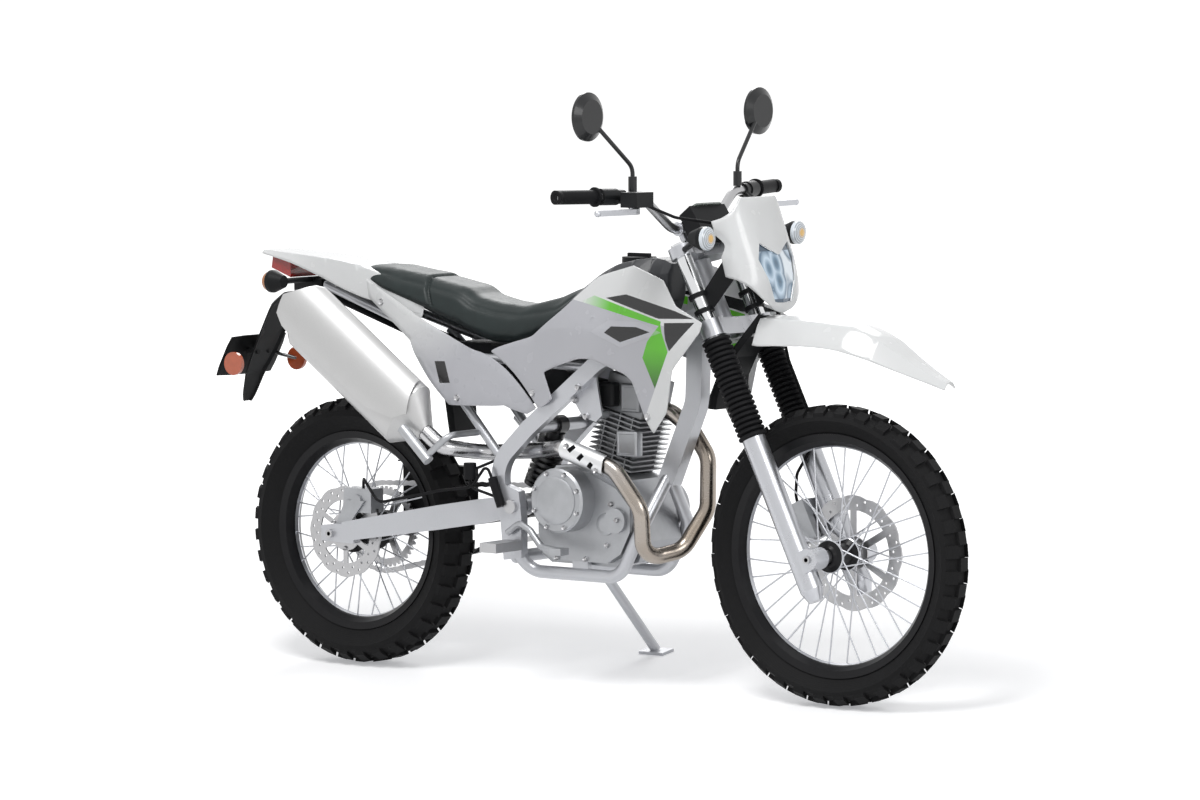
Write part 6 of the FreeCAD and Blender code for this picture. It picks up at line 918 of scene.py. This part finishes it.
def add_screw(bm, node, side, along, up, kind, segments=SCREW_SEGMENTS):
    """A tapered screw with a socket, driven into the first surface met from one side."""
    radius, height = kind
    start = upright(along, side.y * FAR, up)
    run = LEANING @ -side
    place, _, _, _ = surface_of(node).ray_cast(start, run)
    if place is None:
        return
    head = bmesh.new()
    bmesh.ops.create_cone(head, cap_ends=True, cap_tris=False, segments=segments, radius1=radius,
                          radius2=HEAD_TAPER * radius, depth=height)
    top = max(head.faces, key=lambda face: face.calc_center_median().z)
    bmesh.ops.inset_region(head, faces=[top], thickness=SOCKET_EDGE * radius, depth=0.0)
    bmesh.ops.translate(head, verts=top.verts, vec=(0, 0, -SOCKET_DEPTH * height))
    turned = (-run).to_track_quat("Z", "Y").to_matrix().to_4x4()
    seated = Matrix.Translation(place - run * HEAD_LIFT * height) @ turned
    bmesh.ops.transform(head, matrix=seated, verts=head.verts)
    mesh = bpy.data.meshes.new("screw")
    head.to_mesh(mesh)
    head.free()
    bm.from_mesh(mesh)
    bpy.data.meshes.remove(mesh)


def ring_places(centre, radius, count):
    """Places along and up, evenly round a centre."""
    for index in range(count):
        turn = math.tau * (index + 0.5) / count
        yield centre[0] + radius * math.cos(turn), centre[1] + radius * math.sin(turn)


def add_screws():
    """Screws of the panels, of the engine with its shield and hangers, and of both discs."""
    panel = bmesh.new()
    for node, along, up in PANEL_SCREWS:
        for side in BOTH:
            add_screw(panel, node, side, along, up, PANEL_SCREW)
    add_piece("panel_screws", panel, "chassis", "plain_steel")
    engine = bmesh.new()
    for along, up in ring_places(*COVER_RING):
        for side in BOTH:
            add_screw(engine, "engine_covers", side, along, up, COVER_SCREW)
    for along, up in CASE_SCREWS:
        add_screw(engine, "engine_covers", RIGHT, along, up, CASE_SCREW)
    for along, up in SHIELD_SCREWS:
        add_screw(engine, "pipe_shield", RIGHT, along, up, SHIELD_SCREW)
    for along, up in HANGER_NUTS:
        for side in BOTH:
            add_screw(engine, "main_frame", side, along, up, HANGER_NUT, NUT_SIDES)
    add_piece("engine_screws", engine, "chassis", "plain_steel")
    for name, disc, hub, body, side in DISCS:
        bm = bmesh.new()
        for along, up in ring_places(hub, *DISC_RING):
            add_screw(bm, disc, side, along, up, DISC_SCREW)
        add_piece(name, bm, body, "plain_steel")


add_screws()

# Small covers of the engine, upright: boxes are middle, half sizes and bevel, caps are middle and
# rows of height and reach
IGNITION_BOX = ((0.784, -0.064, 0.683), (0.023, 0.014, 0.028), 0.006)
HEAD_COVER = ((0.838, -0.057, 0.571), (0.030, 0.013, 0.030), 0.005)
ROCKER_COVER = ((0.842, -0.053, 0.676), (0.027, 0.010, 0.033), 0.005)
BOX_RIM = 0.12
BOX_STEP = 0.06
BOX_RECESS = 0.1
CLUTCH_CAP = ((0.695, -0.1470, 0.438),
              ((0.0, 0.056), (0.005, 0.055), (0.008, 0.050), (0.0085, 0.030), (0.0085, 0.0)))
STRAINER_CAP = ((0.801, -0.0975, 0.386),
                ((0.0, 0.026), (0.004, 0.025), (0.006, 0.021), (0.006, 0.012), (0.004, 0.0)))
CAP_SEGMENTS = 48
BEVEL_SEGMENTS = 3
FACES_OUT = 0.99


def spin_profile(bm, places, centre, axis, steps):
    """Turn a line of places once round an axis."""
    verts = [bm.verts.new(place) for place in places]
    edges = [bm.edges.new(pair) for pair in zip(verts, verts[1:])]
    bmesh.ops.spin(bm, geom=verts + edges, cent=centre, axis=axis, angle=math.tau, steps=steps,
                   use_merge=True)


def add_box(name, finish, slot, middle, halves, round_off):
    """A moulded box with rounded edges and a panel let into each side."""
    bm = bmesh.new()
    bmesh.ops.create_cube(bm, size=2.0)
    bmesh.ops.scale(bm, vec=halves, verts=bm.verts)
    bmesh.ops.bevel(bm, geom=bm.edges, offset=round_off, segments=BEVEL_SEGMENTS, profile=0.5,
                    affect="EDGES", material=-1)
    broad = halves[0] * halves[2]
    sides = [face for face in bm.faces
             if abs(face.normal.y) > FACES_OUT and face.calc_area() > broad]
    bmesh.ops.inset_individual(bm, faces=sides, thickness=BOX_RIM * halves[0], depth=0.0)
    bmesh.ops.inset_individual(bm, faces=sides, thickness=BOX_STEP * halves[0],
                               depth=-BOX_RECESS * halves[1])
    bmesh.ops.translate(bm, vec=middle, verts=bm.verts)
    set_on_stand(bm)
    add_piece(name, bm, "chassis", finish)


def add_cap(name, finish, slot, middle, rows):
    """A round cap on the right side of the engine, spun from its profile."""
    bm = bmesh.new()
    along, side, up = middle
    places = [(along, side - height, up + reach) for height, reach in rows]
    spin_profile(bm, places, middle, (0, 1, 0), CAP_SEGMENTS)
    set_on_stand(bm)
    add_piece(name, bm, "chassis", finish)


add_box("ignition_box", "black_plastic", "black_plastic", *IGNITION_BOX)
add_box("head_cover", "cast_alloy", "cast_alloy", *HEAD_COVER)
# The rocker cover takes the same alloy darkened with painted shade.
add_box("rocker_cover", "shade_darkened_alloy", "cast_alloy", *ROCKER_COVER)
add_cap("clutch_cap", "cast_alloy", "cast_alloy", *CLUTCH_CAP)
add_cap("oil_strainer_cap", "cast_alloy", "cast_alloy", *STRAINER_CAP)

# Display, bar ends and signal lenses, upright; profiles are rows of depth and reach
SCREEN_FROM = (0.80, 0.0, 1.25)
SCREEN_RUN = (0.83, 0.0, -0.60)
SCREEN_HALVES = (0.052, 0.030, 0.002)
SCREEN_CORNER = 0.008
SCREEN_CORNER_SEGMENTS = 4
SCREEN_RIM = 0.003
SCREEN_STEP = 0.001
BAR_END = (0.911, 0.4270, 1.149)
BAR_END_ROWS = ((-0.012, 0.0150), (-0.0012, 0.0158), (-0.0002, 0.0135), (-0.0008, 0.0085),
                (-0.0022, 0.007), (-0.0022, 0.0))
FRONT_SIGNAL = ((1.1485, 0.178, 1.0543), 0.0262, 1.0)
REAR_SIGNAL = ((-0.1465, 0.1735, 0.919), 0.0225, -1.0)
LENS_ROWS = ((-0.014, 1.02), (0.0, 1.02), (0.00315, 0.94), (0.0063, 0.72), (0.00837, 0.4),
             (0.009, 0.0))
ROUND_SEGMENTS = 32
HANDS = (-1.0, 1.0)


def add_screen():
    """The display that faces the rider, on the instrument's rear face."""
    run = LEANING @ Vector(SCREEN_RUN)
    place, normal, _, _ = surface_of("instrument").ray_cast(upright(*SCREEN_FROM), run)
    bm = bmesh.new()
    bmesh.ops.create_cube(bm, size=2.0)
    bmesh.ops.scale(bm, vec=SCREEN_HALVES, verts=bm.verts)
    corners = [edge for edge in bm.edges
               if abs(edge.verts[0].co.z - edge.verts[1].co.z) > SCREEN_HALVES[2]]
    bmesh.ops.bevel(bm, geom=corners, offset=SCREEN_CORNER, segments=SCREEN_CORNER_SEGMENTS,
                    profile=0.5, affect="EDGES", material=-1)
    front = [face for face in bm.faces if face.normal.z > FACES_OUT]
    bmesh.ops.inset_individual(bm, faces=front, thickness=SCREEN_RIM, depth=0.0)
    bmesh.ops.inset_individual(bm, faces=front, thickness=SCREEN_STEP, depth=-SCREEN_STEP)
    left = LEANING @ LEFT
    turned = Matrix((left, normal.cross(left), normal)).transposed().to_4x4()
    bmesh.ops.transform(bm, matrix=Matrix.Translation(place) @ turned, verts=bm.verts)
    add_piece("instrument_screen", bm, "steering", "screen")


def add_bar_ends():
    """Rubber ends that close the grips, spun from their profile."""
    bm = bmesh.new()
    along, side, up = BAR_END
    for hand in HANDS:
        places = [(along, hand * (side + out), up + reach) for out, reach in BAR_END_ROWS]
        spin_profile(bm, places, (along, hand * side, up), (0, 1, 0), ROUND_SEGMENTS)
    set_on_stand(bm)
    add_piece("bar_ends", bm, "steering", "soft_rubber")


def add_signal_lenses(name, body, finish, slot, middle, radius, way):
    """A domed lens on the face of each signal, spun from its profile."""
    bm = bmesh.new()
    along, side, up = middle
    for hand in HANDS:
        places = [(along + way * forward, hand * side, up + share * radius)
                  for forward, share in LENS_ROWS]
        spin_profile(bm, places, (along, hand * side, up), (1, 0, 0), ROUND_SEGMENTS)
    set_on_stand(bm)
    add_piece(name, bm, body, finish)


add_screen()
add_bar_ends()
add_signal_lenses("front_signal_lenses", "steering", "front_signal_lens", "clear_lens",
                  *FRONT_SIGNAL)
add_signal_lenses("rear_signal_lenses", "chassis", "rear_signal_lens", "amber_lens", *REAR_SIGNAL)

# Camera: fitted to both wheels of the photograph, in the upright machine's measures
AIM = Vector((0.690, 0.0, 0.500))
CAMERA_AZIMUTH = math.radians(37.09)
CAMERA_ELEVATION = math.radians(5.10)
CAMERA_ROLL = math.radians(-0.16)
CAMERA_DISTANCE = 12.76
CAMERA_REACH = 60.0
FOCAL_PIXELS = 5495.0
IMAGE_WIDTH = 1200.0
CENTRE_ACROSS = -6.9
CENTRE_DOWN = 69.2
SENSOR_WIDTH = 36.0


def add_camera():
    """The photograph's camera, which leans with the machine."""
    back = Vector((math.sin(CAMERA_AZIMUTH) * math.cos(CAMERA_ELEVATION),
                   -math.cos(CAMERA_AZIMUTH) * math.cos(CAMERA_ELEVATION),
                   math.sin(CAMERA_ELEVATION)))
    level = (-back).to_track_quat("-Z", "Y").to_matrix().to_4x4()
    leaned = LEANING.to_4x4() @ level @ Matrix.Rotation(CAMERA_ROLL, 4, "Z")
    data = bpy.data.cameras.new("camera")
    data.sensor_width = SENSOR_WIDTH
    data.lens = FOCAL_PIXELS / IMAGE_WIDTH * SENSOR_WIDTH
    data.shift_x = -CENTRE_ACROSS / IMAGE_WIDTH
    data.shift_y = CENTRE_DOWN / IMAGE_WIDTH
    data.clip_end = CAMERA_REACH
    camera = bpy.data.objects.new("camera", data)
    bpy.context.scene.collection.objects.link(camera)
    camera.matrix_world = Matrix.Translation(upright(*(AIM + back * CAMERA_DISTANCE))) @ leaned
    bpy.context.scene.camera = camera


# Studio: lamps are name, place, diameter and power
LAMPS = (("key light", (0.2, -2.0, 5.2), 2.2, 150.0),
         ("front fill", (5.0, -1.5, 3.2), 2.4, 70.0),
         ("left fill", (-2.5, 4.2, 3.6), 3.0, 120.0))
LAMP_TARGET = Vector((0.0, 0.0, 0.6))
WORLD_LIGHT = 0.31
FULL_WHITE = (1.0, 1.0, 1.0)
FLOOR_HALF = 30.0
FLOOR_COLOUR = (0.82, 0.82, 0.82)
FLOOR_ROUGHNESS = 0.9
FLOOR_GLOW = 0.76
# Glow of the floor near the machine, dimmed as a painted shade.
NEAR_SHADED_GLOW = (0.45, 0.455, 0.47)
GLOW_REACH = (1.1, 4.5)


def floor_finish():
    """Pale matt floor that camera, mirrors and glass see as white and that keeps the shadow, its glow
    dimmed near the machine as a painted shade.
    """
    finish = Finish("pale floor", FLOOR_COLOUR, FLOOR_ROUGHNESS)
    path = finish.add("ShaderNodeLightPath", {}, {})
    seen = Value(finish, path.outputs["Is Camera Ray"])
    for ray in ("Is Glossy Ray", "Is Transmission Ray"):
        seen = seen.larger(Value(finish, path.outputs[ray]))
    finish.paint(finish.mottled(finish.noise(FLOOR_STAINS), FLOOR_COLOUR, first=0.99, second=1.0))
    along, side, _ = finish.axes()
    # The glow is dimmer within a few metres of the machine: a painted shade round it, under its cast
    # shadow.
    far = finish.ring(along, side, (0.0, 0.0)).rise(*GLOW_REACH)
    shade = finish.mix(far, NEAR_SHADED_GLOW, FULL_WHITE)
    glow = finish.add("ShaderNodeEmission", {}, {"Color": shade, "Strength": FLOOR_GLOW})
    plain = finish.shader.outputs[0]
    both = finish.add("ShaderNodeAddShader", {}, {0: plain, 1: glow.outputs[0]})
    mixed = finish.add("ShaderNodeMixShader", {}, {0: seen, 1: plain, 2: both.outputs[0]})
    finish.feed(finish.tree.nodes["Material Output"].inputs["Surface"], mixed.outputs[0])
    return finish


def add_floor():
    bm = bmesh.new()
    bmesh.ops.create_grid(bm, x_segments=1, y_segments=1, size=FLOOR_HALF)
    mesh = bpy.data.meshes.new("floor")
    bm.to_mesh(mesh)
    bm.free()
    mesh.materials.append(floor_finish().material)
    floor = bpy.data.objects.new("floor", mesh)
    bpy.context.scene.collection.objects.link(floor)


def add_world():
    """Even light from all round, with white behind it for camera, mirrors and glass."""
    world = bpy.data.worlds.new("studio")
    bpy.context.scene.world = world
    world.use_nodes = True
    nodes, links = world.node_tree.nodes, world.node_tree.links
    background = nodes["Background"]
    seen = nodes.new("ShaderNodeBackground")
    for shader, strength in ((background, WORLD_LIGHT), (seen, 1.0)):
        shader.inputs["Color"].default_value = (*FULL_WHITE, 1.0)
        shader.inputs["Strength"].default_value = strength
    path = nodes.new("ShaderNodeLightPath")
    mixed = nodes.new("ShaderNodeMixShader")
    share = path.outputs["Is Camera Ray"]
    for ray in ("Is Glossy Ray", "Is Transmission Ray"):
        either = nodes.new("ShaderNodeMath")
        either.operation = "MAXIMUM"
        links.new(share, either.inputs[0])
        links.new(path.outputs[ray], either.inputs[1])
        share = either.outputs[0]
    links.new(share, mixed.inputs[0])
    links.new(background.outputs[0], mixed.inputs[1])
    links.new(seen.outputs[0], mixed.inputs[2])
    links.new(mixed.outputs[0], nodes["World Output"].inputs["Surface"])


def add_lamps():
    for name, place, diameter, power in LAMPS:
        data = bpy.data.lights.new(name, "AREA")
        data.shape = "DISK"
        data.size = diameter
        data.energy = power
        lamp = bpy.data.objects.new(name, data)
        lamp.location = place
        aim = LAMP_TARGET - Vector(place)
        lamp.rotation_euler = aim.to_track_quat("-Z", "Y").to_euler()
        bpy.context.scene.collection.objects.link(lamp)


add_camera()
add_floor()
add_world()
add_lamps()
bpy.context.scene.view_settings.view_transform = "Standard"
